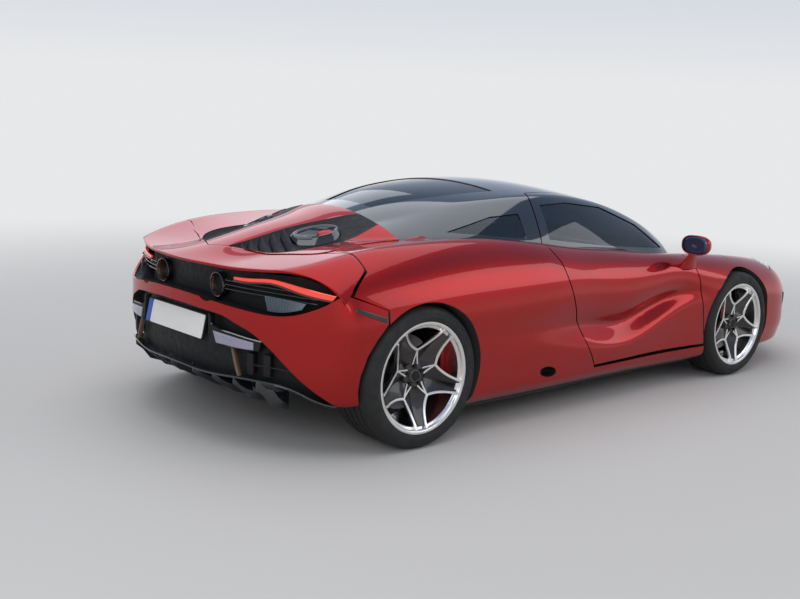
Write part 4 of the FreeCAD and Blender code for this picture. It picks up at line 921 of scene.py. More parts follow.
wingSkin = skinOf("wingSkin", wingSpots.reshape(wingGrid.shape), thick=rearWing["thickness"], offset=-1,
                  bevel=rearWing["bevel"], smooth=40)
dress(wingSkin, "rear_wing", bodyPaint, ("wing",))
strutX, strutY, strutZ = rearWing["strutAt"]
strut = turnedSkin("strut", rearWing["strut"], (fromRear(strutX), strutY, strutZ), rearWing["slide"], 32)
dress(bothSides("wingStruts", strut), "rear_wing", castAluminium)
print("rear wing")


# Tail: one painted skin from the band under the exhausts out to the wheel arches, round a dark recess above
# and
# the dark lower tail. Its surface follows a plan curve and runs into the body's form at the sides.
tail = {
    # from the middle, ahead of the rear axle
    "plan": [(0, -0.8), (0.2, -0.79), (0.4, -0.755), (0.55, -0.705), (0.68, -0.635), (0.78, -0.555),
             (0.86, -0.455), (0.91, -0.35), (0.94, -0.2)],
    "blendFrom": -0.5, "blendTo": -0.37, "tuckFrom": 0.42, "tuck": 1.0,
    # lower inner edge: from the middle, height | upper outer edge: from the middle, height
    "band": [(0, 0.645, 0, 0.7), (0.1, 0.644, 0.1, 0.698), (0.2, 0.64, 0.2, 0.694),
             (0.3, 0.634, 0.29, 0.687), (0.39, 0.624, 0.37, 0.679), (0.453, 0.603, 0.453, 0.671),
             (0.538, 0.571, 0.555, 0.661), (0.6, 0.531, 0.64, 0.655), (0.645, 0.492, 0.7, 0.66),
             (0.684, 0.45, 0.75, 0.674), (0.72, 0.409, 0.8, 0.699), (0.754, 0.37, 0.833, 0.723),
             (0.785, 0.335, 0.865, 0.757)],
    # the side: inner edge from the middle, height | outer edge ahead of the rear axle, height
    "corner": [(0.786, 0.334, -0.42, 0.761), (0.788, 0.332, -0.33, 0.726), (0.79, 0.329, -0.2375, 0.689),
               (0.794, 0.325, -0.2375, 0.626), (0.805, 0.313, -0.29, 0.565), (0.83, 0.286, -0.335, 0.4874),
               (0.85, 0.262, -0.36, 0.3988), (0.867, 0.247, -0.3631, 0.32), (0.885, 0.238, -0.3515, 0.2504)],
    "skin": 0.01, "wellDepth": 0.055, "recessDepth": 0.115, "recessTop": 0.822, "notch": 0.066,
    "notchShift": 0.03, "lip": [(0, 0.35), (0.29, 0.344), (0.458, 0.352), (0.6, 0.35), (0.686, 0.338),
                                (0.756, 0.308),
            (0.814, 0.272), (0.863, 0.249)],
    "ledHigh": [(0.395, 0.797), (0.49, 0.8), (0.62, 0.807), (0.705, 0.794), (0.79, 0.777), (0.855, 0.758)],
    "ledLow": [(0.395, 0.784), (0.49, 0.783), (0.62, 0.789), (0.7, 0.77), (0.78, 0.75), (0.845, 0.736)],
    # how far the lamp strips lie inside the tail's surface, by distance from the middle
    "ledSink": [(0.0, 0.069), (0.5, 0.069), (0.6, 0.067), (0.7, 0.057), (0.8, 0.028), (0.86, 0.01)],
}
planY, planX = (np.array(column) for column in zip(*tail["plan"]))
planRun = np.concatenate([[0], np.cumsum(np.hypot(np.diff(planY), np.diff(planX)))])
fineRun = np.linspace(0, planRun[-1], 400)
fineXY = splineThrough(planRun, np.column_stack([planX, planY]), fineRun)


def runAtSide(y):
    return np.interp(y, fineXY[:, 1], fineRun)


def runAtPlace(x):
    return np.interp(x, fineXY[:, 0], fineRun)


def tailPoints(run, z, sink=0.0):
    # places on the tail's surface, sunk forwards into the car
    run, z, sink = np.broadcast_arrays(*(np.asarray(values, float) for values in (run, z, sink)))
    shape = run.shape
    run, z, sink = run.ravel(), z.ravel(), sink.ravel()
    x = np.interp(abs(run), fineRun, fineXY[:, 0])
    y = np.interp(abs(run), fineRun, fineXY[:, 1]) * np.sign(run)
    turn = np.gradient(fineXY, axis=0)
    turn /= np.linalg.norm(turn, axis=1)[:, None]
    inX = np.interp(abs(run), fineRun, turn[:, 1])
    inY = np.interp(abs(run), fineRun, -turn[:, 0]) * np.sign(run)
    tuck = tail["tuck"] * np.clip(tail["tuckFrom"] - z, 0, 1) ** 2
    points = np.column_stack([fromRear(x) + inX * tuck, y + inY * tuck, z])
    spots, normals, _ = nearestOn(lowerForm, points)
    weight = np.clip((x - tail["blendFrom"]) / (tail["blendTo"] - tail["blendFrom"]), 0, 1)
    weight = (weight ** 2 * (3 - 2 * weight))[:, None]
    points = points * (1 - weight) + spots * weight
    points[:, 0] += inX * sink
    points[:, 1] += inY * sink
    return points.reshape(*shape, 3)


def denser(values, count):
    values = np.array(values, float)
    return np.column_stack([np.interp(np.linspace(0, len(values) - 1, count), np.arange(len(values)), column)
                            for column in values.T])


bandRows = [(runAtSide(a), b, runAtSide(c), d) for a, b, c, d in tail["band"]]
cornerRows = [(runAtSide(a), b, runAtPlace(c), d) for a, b, c, d in tail["corner"]]
bandFine = splineThrough(np.arange(len(bandRows)), np.array(bandRows),
                         np.linspace(0, len(bandRows) - 1, 193))
# the band dips round the lower side of each exhaust
pipeGap = runAtSide(car["exhaustOffset"] + tail["notchShift"]) - bandFine[:, 2]
notchHeight = car["exhaustHeight"] - np.sqrt(np.clip(tail["notch"] ** 2 - pipeGap ** 2, 0, 1))
inNotch = abs(pipeGap) < tail["notch"]
bandFine[inNotch, 3] = np.minimum(bandFine[inNotch, 3], notchHeight[inNotch])
edges = np.vstack([bandFine, denser([bandRows[-1]] + cornerRows, 82)[1:]])
halfSkin = np.vstack([edges[:0:-1] * (-1, 1, -1, 1), edges])
share = np.linspace(0, 1, 25)
acrossRun = halfSkin[:, :1] * (1 - share) + halfSkin[:, 2:3] * share
upRun = halfSkin[:, 1:2] * (1 - share) + halfSkin[:, 3:4] * share
tailSkin = skinOf("tailSkin", tailPoints(acrossRun, upRun), thick=tail["skin"], offset=-1, smooth=40)
dress(tailSkin, "shell", bodyPaint, ("rear_bumper",))


def wholeTable(rows):
    return [(-y, *rest) for y, *rest in rows[:0:-1]] + [tuple(row) for row in rows]


def alongTail(rows, count):
    # a smooth line of (run, height) from a table of (from the middle, height)
    points = np.array([(math.copysign(runAtSide(abs(y)), y), z) for y, z in rows])
    share = np.concatenate([[0], np.cumsum(np.linalg.norm(np.diff(points, axis=0), axis=1))])
    return splineThrough(share, points, np.linspace(0, share[-1], count))


def tailPatch(name, low, high, sinkLow, sinkHigh, rows=13, **settings):
    # a surface between two lines of (run, height), each at its own depth
    share = np.linspace(0, 1, rows)
    run = low[:, :1] * (1 - share) + high[:, :1] * share
    height = low[:, 1:2] * (1 - share) + high[:, 1:2] * share
    depth = sinkLow * (1 - share) + sinkHigh * share
    return skinOf(name, tailPoints(run, height, depth), **settings)


# the walls of the lower well and of the recess, in grained black
well = {"wall": 0.003, "back": 0.004, "rimSink": 0.002, "rimPast": 0.01, "overlap": 0.02,
        "underLip": 0.01, "floorSink": 0.004, "floorDrop": 0.012,
        # the recess's top falls towards its ends: from the middle along the skin, height
        "topFall": ((0.7, 0.95), (0.84, 0.775))}
lowEdge, highEdge = halfSkin[:, :2], halfSkin[:, 2:4]
bandPart = np.abs(highEdge[:, 0]) <= bandRows[-1][2] + 1e-9
lipLine = alongTail(wholeTable(tail["lip"]), 121)
edgeHeight = np.interp(np.abs(lipLine[:, 0]), edges[:, 0], edges[:, 1])
wellTop = np.column_stack([lipLine[:, 0], edgeHeight + well["overlap"]])
recessLow = highEdge[bandPart] - (0, well["floorDrop"])
recessHeight = np.minimum(tail["recessTop"], np.interp(np.abs(recessLow[:, 0]), *well["topFall"]))
recessHigh = np.column_stack([recessLow[:, 0], recessHeight])
wellDepth, recessDepth = tail["wellDepth"], tail["recessDepth"]
walls = [
    tailPatch("wellRim", lowEdge, lowEdge + (0, 0.001), well["rimSink"], wellDepth + well["rimPast"], rows=5,
              thick=well["wall"]),
    tailPatch("wellBack", lipLine - (0, well["underLip"]), wellTop, wellDepth, wellDepth,
              thick=well["back"]),
    tailPatch("recessFloor", recessLow, recessLow, well["floorSink"], recessDepth, rows=5,
              thick=well["wall"]),
    tailPatch("recessBack", recessLow, recessHigh, recessDepth, recessDepth, thick=well["back"]),
]
dress(join("tailWalls", walls), "shell", darkPlastic, ("rear_grille",))

# diffuser: a lip with a rising floor under it and upright strakes
diffuser = {"lipTop": 0.004, "lipBottom": 0.016, "lipDepth": 0.1, "lipThickness": 0.006,
            "floorDrop": 0.012, "floorNarrowing": 0.92, "floorEnd": 0.235, "floorFrom": 0.012,
            "floorTo": 0.3, "floorThickness": 0.004, "strakesAt": (0.1, 0.25, 0.4, 0.56),
            "strakeSweep": 0.12, "strakeThickness": 0.006, "bevel": 0.001,
            # a strake's sections: ahead of the rear axle at the car's middle, whether swept, top, bottom
            "strake": [(-0.75, 1, 0.345, 0.3), (-0.71, 1, 0.34, 0.268), (-0.6, 0, 0.325, 0.215),
                       (-0.5, 0, 0.3, 0.18)]}
lipHigh, lipLow = (lipLine - (0, diffuser[drop]) for drop in ("lipTop", "lipBottom"))
lipBlade = tailPatch("lipBlade", lipHigh, lipLow, 0.0, diffuser["lipDepth"], rows=6,
                     thick=diffuser["lipThickness"], bevel=diffuser["bevel"])
floorLine = lipLine - (0, diffuser["floorDrop"])
floorEnd = floorLine * (diffuser["floorNarrowing"], 0) + (0, diffuser["floorEnd"])
tray = tailPatch("diffuserTray", floorLine, floorEnd, diffuser["floorFrom"], diffuser["floorTo"], rows=10,
                 thick=diffuser["floorThickness"])
strakes = []
for y in diffuser["strakesAt"]:
    for sign in (1, -1):
        blade = [[(fromRear(x + swept * y * diffuser["strakeSweep"]), sign * y, z) for z in (top, bottom)]
                 for x, swept, top, bottom in diffuser["strake"]]
        strakes.append(skinOf("strake", blade, thick=diffuser["strakeThickness"], bevel=diffuser["bevel"]))
dress(join("diffuserTray", [lipBlade, tray] + strakes), "shell", glossBlack, ("diffuser",))


# tail lamps: a thin red strip under the wing each side, over dark slats
def ledSink(line):
    sinkY, sinkDepth = zip(*tail["ledSink"])
    return np.interp(np.abs(line[:, :1]), [runAtSide(y) for y in sinkY], sinkDepth)


tailLamp = {"points": 60, "thickness": 0.01, "bevel": 0.002, "hoodDrop": 0.006, "hoodGap": 0.001,
            "hoodThickness": 0.018}
slat = {"heights": (0.77, 0.75, 0.73), "points": 40, "rise": 0.004, "from": 0.004, "to": 0.03,
        "thickness": 0.0035, "bevel": 0.0008,
        # from the middle, above the slat's own height
        "line": [(0.33, 0.004), (0.5, 0), (0.66, -0.006), (0.8, -0.014)]}
ledLow, ledHigh = (alongTail(tail[edge], tailLamp["points"]) for edge in ("ledLow", "ledHigh"))
lampBar = tailPatch("lampBar", ledLow, ledHigh, ledSink(ledLow), ledSink(ledLow), rows=5,
                    thick=tailLamp["thickness"], bevel=tailLamp["bevel"])
lampHood = tailPatch("lampHood", ledLow - (0, tailLamp["hoodDrop"]), ledLow - (0, tailLamp["hoodGap"]),
                     ledSink(ledLow), ledSink(ledLow), rows=3, thick=tailLamp["hoodThickness"])
dress(bothSides("tailLampStrip", lampBar), "shell", redLens, ("tail_lamps",))
slatPieces = [lampHood]
for height in slat["heights"]:
    line = alongTail([(y, height + rise) for y, rise in slat["line"]], slat["points"])
    slatPieces.append(tailPatch("slat", line, line - (0, slat["rise"]), ledSink(line) + slat["from"],
                                ledSink(line) + slat["to"], rows=4, thick=slat["thickness"],
                                bevel=slat["bevel"]))
dress(bothSides("recessSlats", join("slats", slatPieces)), "shell", glossBlack)

# a mesh panel behind the slats: ribs along the tail and posts across them
mesh = {"low": [(0.6, 0.668), (0.66, 0.667), (0.745, 0.686)],
        "high": [(0.585, 0.733), (0.66, 0.727), (0.76, 0.712)], "points": 40, "ribs": 15, "postStep": 3,
        "ribHalf": 0.0011, "ribDepth": 0.046, "ribThickness": 0.004, "postHalf": 0.001, "postDepth": 0.048,
        "postThickness": 0.003}
meshLow, meshHigh = (alongTail(mesh[edge], mesh["points"]) for edge in ("low", "high"))
meshPieces = []
for share in np.linspace(0, 1, mesh["ribs"]):
    line = meshLow * (1 - share) + meshHigh * share
    half = (0, mesh["ribHalf"])
    meshPieces.append(tailPatch("meshRib", line - half, line + half, mesh["ribDepth"], mesh["ribDepth"],
                                rows=2, thick=mesh["ribThickness"]))
for column in range(0, mesh["points"], mesh["postStep"]):
    post = np.array([meshLow[column], meshHigh[column]])
    half = (mesh["postHalf"], 0)
    meshPieces.append(tailPatch("meshPost", post - half, post + half, mesh["postDepth"], mesh["postDepth"],
                                rows=2, thick=mesh["postThickness"]))
dress(bothSides("recessMesh", join("mesh", meshPieces)), "shell", meshGrey)

# exhausts: rolled tips with a dark ring and a choke inside, and links to a silencer
pipe = {"tip": 0.702, "length": 0.12, "linkStart": 0.03, "linkAxis": (1, 0, -0.32),
        # profiles: radius, ahead of the tip
        "tipProfile": [(0.051, 0.12), (0.053, 0.03), (0.057, 0.012), (0.057, 0.002), (0.056, 0.0),
                       (0.054, 0.0), (0.053, 0.002), (0.05, 0.03), (0.043, 0.11), (0.043, 0.12)],
        "ring": [(0.0575, 0.02), (0.06, 0.018), (0.061, 0.006), (0.059, -0.001), (0.056, -0.002),
                 (0.053, 0.0), (0.0525, 0.01), (0.057, 0.012)],
        "choke": [(0.0, 0.1), (0.045, 0.1), (0.045, 0.108), (0.0, 0.108)],
        "link": [(0.04, 0.0), (0.04, 0.24), (0.036, 0.24), (0.036, 0.0)]}
tips, collars = [], []
for sign in (1, -1):
    centre = Vector((fromRear(-pipe["tip"]), sign * car["exhaustOffset"], car["exhaustHeight"]))
    start = centre + Vector((pipe["length"] - pipe["linkStart"], 0, 0))
    tips.append(turnedSkin("tip", pipe["tipProfile"], centre, (1, 0, 0), 72))
    tips.append(turnedSkin("link", pipe["link"], start, pipe["linkAxis"], 40))
    collars.append(turnedSkin("ring", pipe["ring"], centre, (1, 0, 0), 72))
    collars.append(turnedSkin("choke", pipe["choke"], centre, (1, 0, 0), 48))
# the silencer: a soft-edged box across the car with two pressed beads
silencer = {"middle": (-0.32, 0.645), "half": (0.096, 0.075), "reach": 0.485, "softness": 0.6, "points": 41,
            # across the car as a share of the reach, size of the section there
            "sections": [(-1.0, 0.02), (-1.0, 0.9), (-0.985, 1.0), (-0.5, 1.0), (-0.47, 0.97), (-0.44, 1.0),
                         (0.44, 1.0), (0.47, 0.97), (0.5, 1.0), (0.985, 1.0), (1.0, 0.9), (1.0, 0.02)]}


def silencerSection(y, size):
    section = []
    for turn in np.linspace(0, 2 * math.pi, silencer["points"]):
        along, up = (math.copysign(abs(v) ** silencer["softness"], v) for v in (math.cos(turn),
                                                                                math.sin(turn)))
        section.append((fromRear(silencer["middle"][0] + along * silencer["half"][0] * size),
                        y * silencer["reach"], silencer["middle"][1] + up * silencer["half"][1] * size))
    return section


tips.append(skinOf("silencer", np.array([silencerSection(*row) for row in silencer["sections"]]), wrap=True,
                   cap=True))
dress(join("exhaustTips", tips), "shell", hotPipe, ("exhaust",))
dress(join("exhaustCollars", collars), "shell", glossBlack)

# number plate: blank, with a plain strip at its left end
plate = {"x": -0.776, "z": 0.549, "tilt": 0.215, "width": 0.52, "height": 0.112, "thickness": 0.003,
         "strip": 0.042, "corner": 0.008, "cornerPoints": 7, "frame": 0.006, "frameDepth": 0.014,
         "lift": 0.0005, "bevel": 0.0005}


def plateSlab(name, left, right, height, lift, thickness):
    # a rounded flat slab in the plate's plane, lifted off its back
    middle, cosTilt, sinTilt = (left + right) / 2, math.cos(plate["tilt"]), math.sin(plate["tilt"])
    outline = []
    for cornerY, cornerZ, start in ((right, height / 2, 0), (left, height / 2, 90), (left, -height / 2, 180),
                                    (right, -height / 2, 270)):
        for turn in np.radians(np.linspace(start, start + 90, plate["cornerPoints"])):
            outline.append((cornerY + (math.cos(turn) - np.sign(cornerY - middle)) * plate["corner"],
                            cornerZ + (math.sin(turn) - np.sign(cornerZ)) * plate["corner"]))
    rings = []
    for reach, depth in ((0.0, lift), (1.0, lift), (1.0, lift + thickness), (0.0, lift + thickness)):
        ring = []
        for y, z in outline + outline[:1]:
            y, z = y * reach + middle * (1 - reach), z * reach
            ring.append((fromRear(plate["x"] - depth * cosTilt + z * sinTilt), -y,
                         plate["z"] + z * cosTilt + depth * sinTilt))
        rings.append(ring)
    return skinOf(name, rings, wrap=True, bevel=plate["bevel"], smooth=30)


halfPlate, stripEnd = plate["width"] / 2, -plate["width"] / 2 + plate["strip"]
plateFrame = plateSlab("plateFrame", -halfPlate - plate["frame"], halfPlate + plate["frame"],
                       plate["height"] + 2 * plate["frame"], -plate["frameDepth"], plate["frameDepth"])
dress(plateFrame, "shell", darkPlastic)
for name, left, right, finish in (("plateFace", stripEnd, halfPlate, plateWhite),
                                  ("plateStrip", -halfPlate, stripEnd, plateBlue)):
    slab = plateSlab(name, left, right, plate["height"], plate["lift"], plate["thickness"])
    dress(slab, "shell", finish)

# Patches of the lower tail: low line and high line from the middle and height, points along them, depths of
# the
# two lines, grid rows, thickness and bevel. A housing with its cheek, two posts, a fin and a reversing lamp.
lowerTail = {
    "housing": ([(0.315, 0.486), (0.45, 0.484), (0.585, 0.482)],
                [(0.308, 0.572), (0.4, 0.548), (0.59, 0.526)], 30, 0.016, 0.022, 7, 0.035, 0.003),
    "cheek": ([(0.3, 0.5), (0.306, 0.49), (0.312, 0.486)], [(0.292, 0.618), (0.298, 0.618), (0.306, 0.6)],
              9, 0.016, 0.02, 7, 0.03, 0.003),
    "innerPost": ([(0.519, 0.368), (0.535, 0.368), (0.551, 0.368)],
                  [(0.519, 0.47), (0.535, 0.47), (0.551, 0.466)], 5, 0.03, 0.03, 4, 0.03, 0.003),
    "outerPost": ([(0.599, 0.368), (0.615, 0.368), (0.631, 0.368)],
                  [(0.599, 0.47), (0.615, 0.47), (0.631, 0.466)], 5, 0.03, 0.03, 4, 0.03, 0.003),
    "fin": ([(0.468, 0.352), (0.475, 0.352), (0.482, 0.352)],
            [(0.42, 0.476), (0.427, 0.476), (0.434, 0.476)], 5, 0.018, 0.034, 6, 0.022, 0.002),
    "reverse": ([(0.352, 0.488), (0.46, 0.486), (0.56, 0.486)],
                [(0.33, 0.545), (0.45, 0.534), (0.558, 0.522)], 24, 0.004, 0.004, 6, 0.01, 0.002),
}
# bars that follow a single line: the line, points, half height below, above, depths, grid rows, thickness,
# bevel
lowerBars = {
    "trim": ([(0.296, 0.618), (0.3, 0.59), (0.318, 0.567), (0.4, 0.551), (0.5, 0.54), (0.592, 0.53)],
             50, 0.0025, 0.0025, 0.009, 0.009, 3, 0.006, 0.001),
    "slot": ([(0.5, 0.41), (0.62, 0.409), (0.735, 0.398)], 30, 0.0, 0.007, 0.022, 0.024, 3, 0.006, 0.001),
}


def lowerPiece(name):
    low, high, points, sinkLow, sinkHigh, rows, thick, bevel = lowerTail[name]
    return tailPatch(name, alongTail(low, points), alongTail(high, points), sinkLow, sinkHigh, rows=rows,
                     thick=thick, bevel=bevel)


def lowerBar(name):
    places, points, below, above, sinkLow, sinkHigh, rows, thick, bevel = lowerBars[name]
    line = alongTail(places, points)
    return tailPatch(name, line - (0, below), line + (0, above), sinkLow, sinkHigh, rows=rows, thick=thick,
                     bevel=bevel)


housings = join("lowerHousing", [lowerPiece("housing"), lowerPiece("cheek")])
dress(bothSides("lowerLampHousings", housings), "shell", darkPlastic)
dress(bothSides("lowerTailTrim", lowerBar("trim")), "shell", castAluminium)
posts = join("posts", [lowerPiece("innerPost"), lowerPiece("outerPost"), lowerBar("slot")])
dress(bothSides("lowerTailPosts", posts), "shell", darkPlastic)
dress(bothSides("lowerTailFins", lowerPiece("fin")), "shell", tanFin)
dress(bothSides("reversingLamps", lowerPiece("reverse")), "shell", lilacLens)

# side markers behind the wheel arches, from (ahead of the rear axle, height)
marker = {"low": [(-0.398, 0.688), (-0.246, 0.634)], "high": [(-0.39, 0.705), (-0.243, 0.656)], "points": 16,
          "sink": -0.0015, "thickness": 0.006, "bevel": 0.0008}
markerLow, markerHigh = (denser([(runAtPlace(x), z) for x, z in marker[edge]], marker["points"])
                         for edge in ("low", "high"))
sideMarker = tailPatch("marker", markerLow, markerHigh, marker["sink"], marker["sink"], rows=4,
                       thick=marker["thickness"], bevel=marker["bevel"])
dress(bothSides("sideMarkers", sideMarker), "shell", darkAlloy)
print("tail")


# Door mirrors: a painted head with dark glass on a stalk that grows out of the door.
mirror = {"centre": (fromFront(-0.61), 0.985, 0.864), "outerLean": 0.03, "shell": 0.003,
          "glassInset": 0.005, "glassHalf": (0.083, 0.052), "glassReach": (1.0, 0.7, 0.35, 0.001),
          "glassThickness": 0.004,
          # ahead of the glass, half span, half rise
          "head": [(0.0, 0.086, 0.055), (0.004, 0.09, 0.058), (0.03, 0.088, 0.056), (0.06, 0.074, 0.046),
                   (0.076, 0.054, 0.033), (0.083, 0.028, 0.017), (0.084, 0.002, 0.001)],
          # ahead of the head's middle, from the car's middle, height, half length, half thickness
          "stalk": [(0.046, 0.96, 0.838, 0.024, 0.012), (0.05, 0.946, 0.812, 0.034, 0.015),
                    (0.054, 0.93, 0.785, 0.046, 0.02), (0.064, 0.912, 0.75, 0.064, 0.026),
                    (0.074, 0.895, 0.715, 0.082, 0.034)]}


def ovalRing(steps, power):
    # a soft-cornered oval: how far across and how far up at every step
    turns = np.linspace(0, 2 * math.pi, steps)
    return [tuple(math.copysign(abs(v) ** (2 / power), v) for v in (math.cos(turn), math.sin(turn)))
            for turn in turns]


def mirrorRing(ahead, halfSpan, halfRise):
    x, y, z = mirror["centre"]
    return [(x + ahead - mirror["outerLean"] * (1 - a) * halfSpan, y + a * halfSpan, z + b * halfRise)
            for a, b in ovalRing(49, 2.6)]


head = skinOf("head", [mirrorRing(*row) for row in mirror["head"]], wrap=True, thick=mirror["shell"],
              offset=-1, smooth=50)
stalkRings = []
for ahead, y, z, halfLength, halfThick in mirror["stalk"]:
    stalkRings.append([(mirror["centre"][0] + ahead + a * halfLength, y + b * halfThick, z)
                       for a, b in ovalRing(33, 2.0)])
stalk = skinOf("stalk", stalkRings, wrap=True, cap=True, smooth=60)
glassRings = [mirrorRing(mirror["glassInset"], *(half * reach for half in mirror["glassHalf"]))
              for reach in mirror["glassReach"]]
mirrorPane = skinOf("mirrorPane", glassRings, wrap=True, smooth=60)
applyModifier(mirrorPane, "SOLIDIFY", thickness=mirror["glassThickness"], offset=0)
tidyMesh(mirrorPane)
mirrorBody = join("mirrorBody", [head, stalk])
for sideName, matrix in (("left", None), ("right", acrossCar)):
    leaf = "door_%s_leaf" % sideName
    dress(copyOf(mirrorBody, "mirrorHousing_" + sideName, matrix), leaf, bodyPaint,
          ("mirror_" + sideName,))
    dress(copyOf(mirrorPane, "mirrorGlass_" + sideName, matrix), leaf, mirrorGlass)
for piece in (mirrorBody, mirrorPane):
    bpy.data.objects.remove(piece)
print("mirrors")


# Seats: thin padded shells with bolsters, a head rest and sewn channels.
seat = {"middle": 0.345, "halfWidth": 0.228, "padding": 0.055,
        # along the seat from its front edge to the head rest: ahead of the rear axle, height,
        # half width as a share, bolster height
        "line": [(1.835, 0.3, 0.88, 0.01), (1.78, 0.345, 0.94, 0.03), (1.66, 0.345, 0.97, 0.055),
                 (1.52, 0.315, 1.0, 0.065), (1.42, 0.295, 1.0, 0.06), (1.345, 0.33, 0.98, 0.06),
                 (1.3, 0.41, 0.98, 0.08), (1.255, 0.52, 1.0, 0.095), (1.21, 0.63, 0.98, 0.085),
                 (1.165, 0.72, 0.86, 0.05), (1.135, 0.78, 0.62, 0.022), (1.115, 0.85, 0.54, 0.016),
                 (1.105, 0.895, 0.46, 0.01)],
        "rows": 73, "columns": 33, "channels": 9, "channelDepth": 0.006, "seam": 0.58, "seamWidth": 0.05,
        "sewnTo": 0.66, "bolsterFrom": 0.5, "bolsterPower": 1.6, "edgeFrom": 0.86, "edgeDrop": 0.03,
        "edgeRadius": 0.016}


def pastShare(value, start):
    # how far a value lies between the start and 1
    return max(0.0, (value - start) / (1 - start))


seatRows = np.array(seat["line"])
seatShare = np.linspace(0, 1, seat["rows"])
seatFine = splineThrough(np.linspace(0, 1, len(seatRows)), seatRows, seatShare)
seatTurn = np.gradient(seatFine[:, :2], axis=0)
seatTurn /= np.linalg.norm(seatTurn, axis=1)[:, None]
seatPoints = []
for k, (x, z, width, bolster) in enumerate(seatFine):
    row = []
    for across in np.linspace(-1, 1, seat["columns"]):
        out = abs(across)
        sewn = seat["channelDepth"] * (1 - abs(math.sin(seatShare[k] * math.pi * seat["channels"]))) ** 4
        sewn += seat["channelDepth"] * max(0.0, 1 - abs(out - seat["seam"]) / seat["seamWidth"])
        lift = bolster * pastShare(out, seat["bolsterFrom"]) ** seat["bolsterPower"]
        lift -= (sewn if out < seat["sewnTo"] else 0) + seat["edgeDrop"] * pastShare(out,
                                                                                     seat["edgeFrom"]) ** 2
        row.append((fromRear(x + seatTurn[k, 1] * lift), across * seat["halfWidth"] * width,
                    z - seatTurn[k, 0] * lift))
    seatPoints.append(row)
padShape = skinOf("seatPad", seatPoints, smooth=60)
applyModifier(padShape, "SOLIDIFY", thickness=seat["padding"], offset=-1)
tidyMesh(padShape)
applyModifier(padShape, "BEVEL", width=seat["edgeRadius"], segments=3, limit_method="ANGLE")
applyModifier(padShape, "SUBSURF", levels=1, render_levels=1)
smoothShade(padShape, 60)
for sideName, sign in (("left", 1), ("right", -1)):
    pad = copyOf(padShape, "seatPad_" + sideName, Matrix.Translation((0, seat["middle"] * sign, 0)))
    dress(pad, "shell", leather, ("seats",))
bpy.data.objects.remove(padShape)
print("seats")


# Wheels: modelled once for each axle about the wheel's middle with the outside towards +Y, then copied.
wheel = {
    "spokes": 5, "firstSpoke": -90, "hubReach": 0.06, "boltCircle": 0.046,
    "nodeShare": 0.47, "rimShare": 0.905, "ribWidth": 0.0115, "barWidth": 0.008, "ribRise": 0.006,
    "ribDepth": 0.02,
    "ribSection": [(-1, 0), (1, 0), (1.35, 0.4), (1.35, 1), (-1.35, 1), (-1.35, 0.4), (-1, 0)],
    "hubFace": 0.066, "rimFaceIn": 0.017, "dish": 1.7, "channelDepth": 0.034,
    "rimHalfAngle": 7.0, "hubHalfAngle": 21, "grooves": (0.016, 0.056), "grooveWidth": 0.01,
    "grooveDepth": 0.007, "tyreSteps": 144, "treadStep": 4, "treadDepth": 0.005,
    "grooveLip": 0.001, "grooveRound": (0.0002, 0.0003), "treadFrom": 0.002, "treadTo": 0.02,
    "treadFall": 0.012, "rimPast": 0.008, "hubShort": 0.004, "bendShare": 0.4, "bendIn": 0.02,
    "ribBevel": 0.0008, "flatReach": 0.05, "edgeFold": 0.2, "leafSink": 0.002, "leafThickness": 0.008,
    # the tyre's side: in from the outer radius, in from the side | beyond the rim's radius, in from the side
    "shoulder": [(0.001, 0.044), (0.006, 0.024), (0.016, 0.009), (0.026, 0.003), (0.033, 0.0012),
                 (0.034, 0.0028)],
    "bead": [(0.028, 0), (0.019, 0.0006), (0.016, 0.0026), (0.01, 0.003), (0.003, 0.009), (-0.004, 0.019)],
    # the barrel: beyond the rim's radius, offset from a side, that side (1 outer, -1 inner, 0 the middle)
    "barrel": [(-0.014, 0.01, -1), (-0.022, 0.032, -1), (-0.044, -0.03, 0), (-0.044, 0.02, 0),
               (-0.032, -0.06, 1), (-0.03, -0.03, 1), (-0.026, -0.026, 1), (-0.02, -0.025, 1),
               (-0.017, -0.022, 1), (-0.016, -0.012, 1), (-0.013, -0.009, 1), (-0.004, -0.007, 1),
               (0.0005, -0.0075, 1), (0.0012, -0.012, 1), (-0.007, -0.022, 1), (-0.022, -0.058, 1),
               (-0.034, 0.022, 0), (-0.034, -0.03, 0), (-0.012, 0.032, -1), (0, 0.018, -1), (0, 0.01, -1)],
    # hub: radius, height beyond the hub's face | cap: the same
    "hub": [(0.064, -0.01), (0.06, -0.004), (0.054, -0.001), (0.034, -0.001), (0.031, -0.004),
            (0.029, -0.004)],
    "cap": [(0.0, -0.02), (0.027, -0.02), (0.027, 0.012), (0.025, 0.015), (0.021, 0.016), (0.0, 0.017)],
    "hubBack": 0.034, "boltRadius": 0.0095, "boltLength": 0.022, "boltRise": 0.002, "boltBevel": 0.0018,
    # disc: two friction rings with vanes between, and the bell
    "disc": [(0.03, 0.022), (0.03, 0.034), (0.078, 0.034), (0.081, 0.031), (0.081, -0.018), (0.092, -0.02),
             (0.182, -0.02), (0.184, -0.0215), (0.184, -0.0305), (0.181, -0.0315), (0.172, -0.0315),
             (0.172, -0.0405), (0.181, -0.0405), (0.184, -0.0415), (0.184, -0.0505), (0.182, -0.052),
             (0.078, -0.052), (0.072, -0.046), (0.072, 0.022)],
}
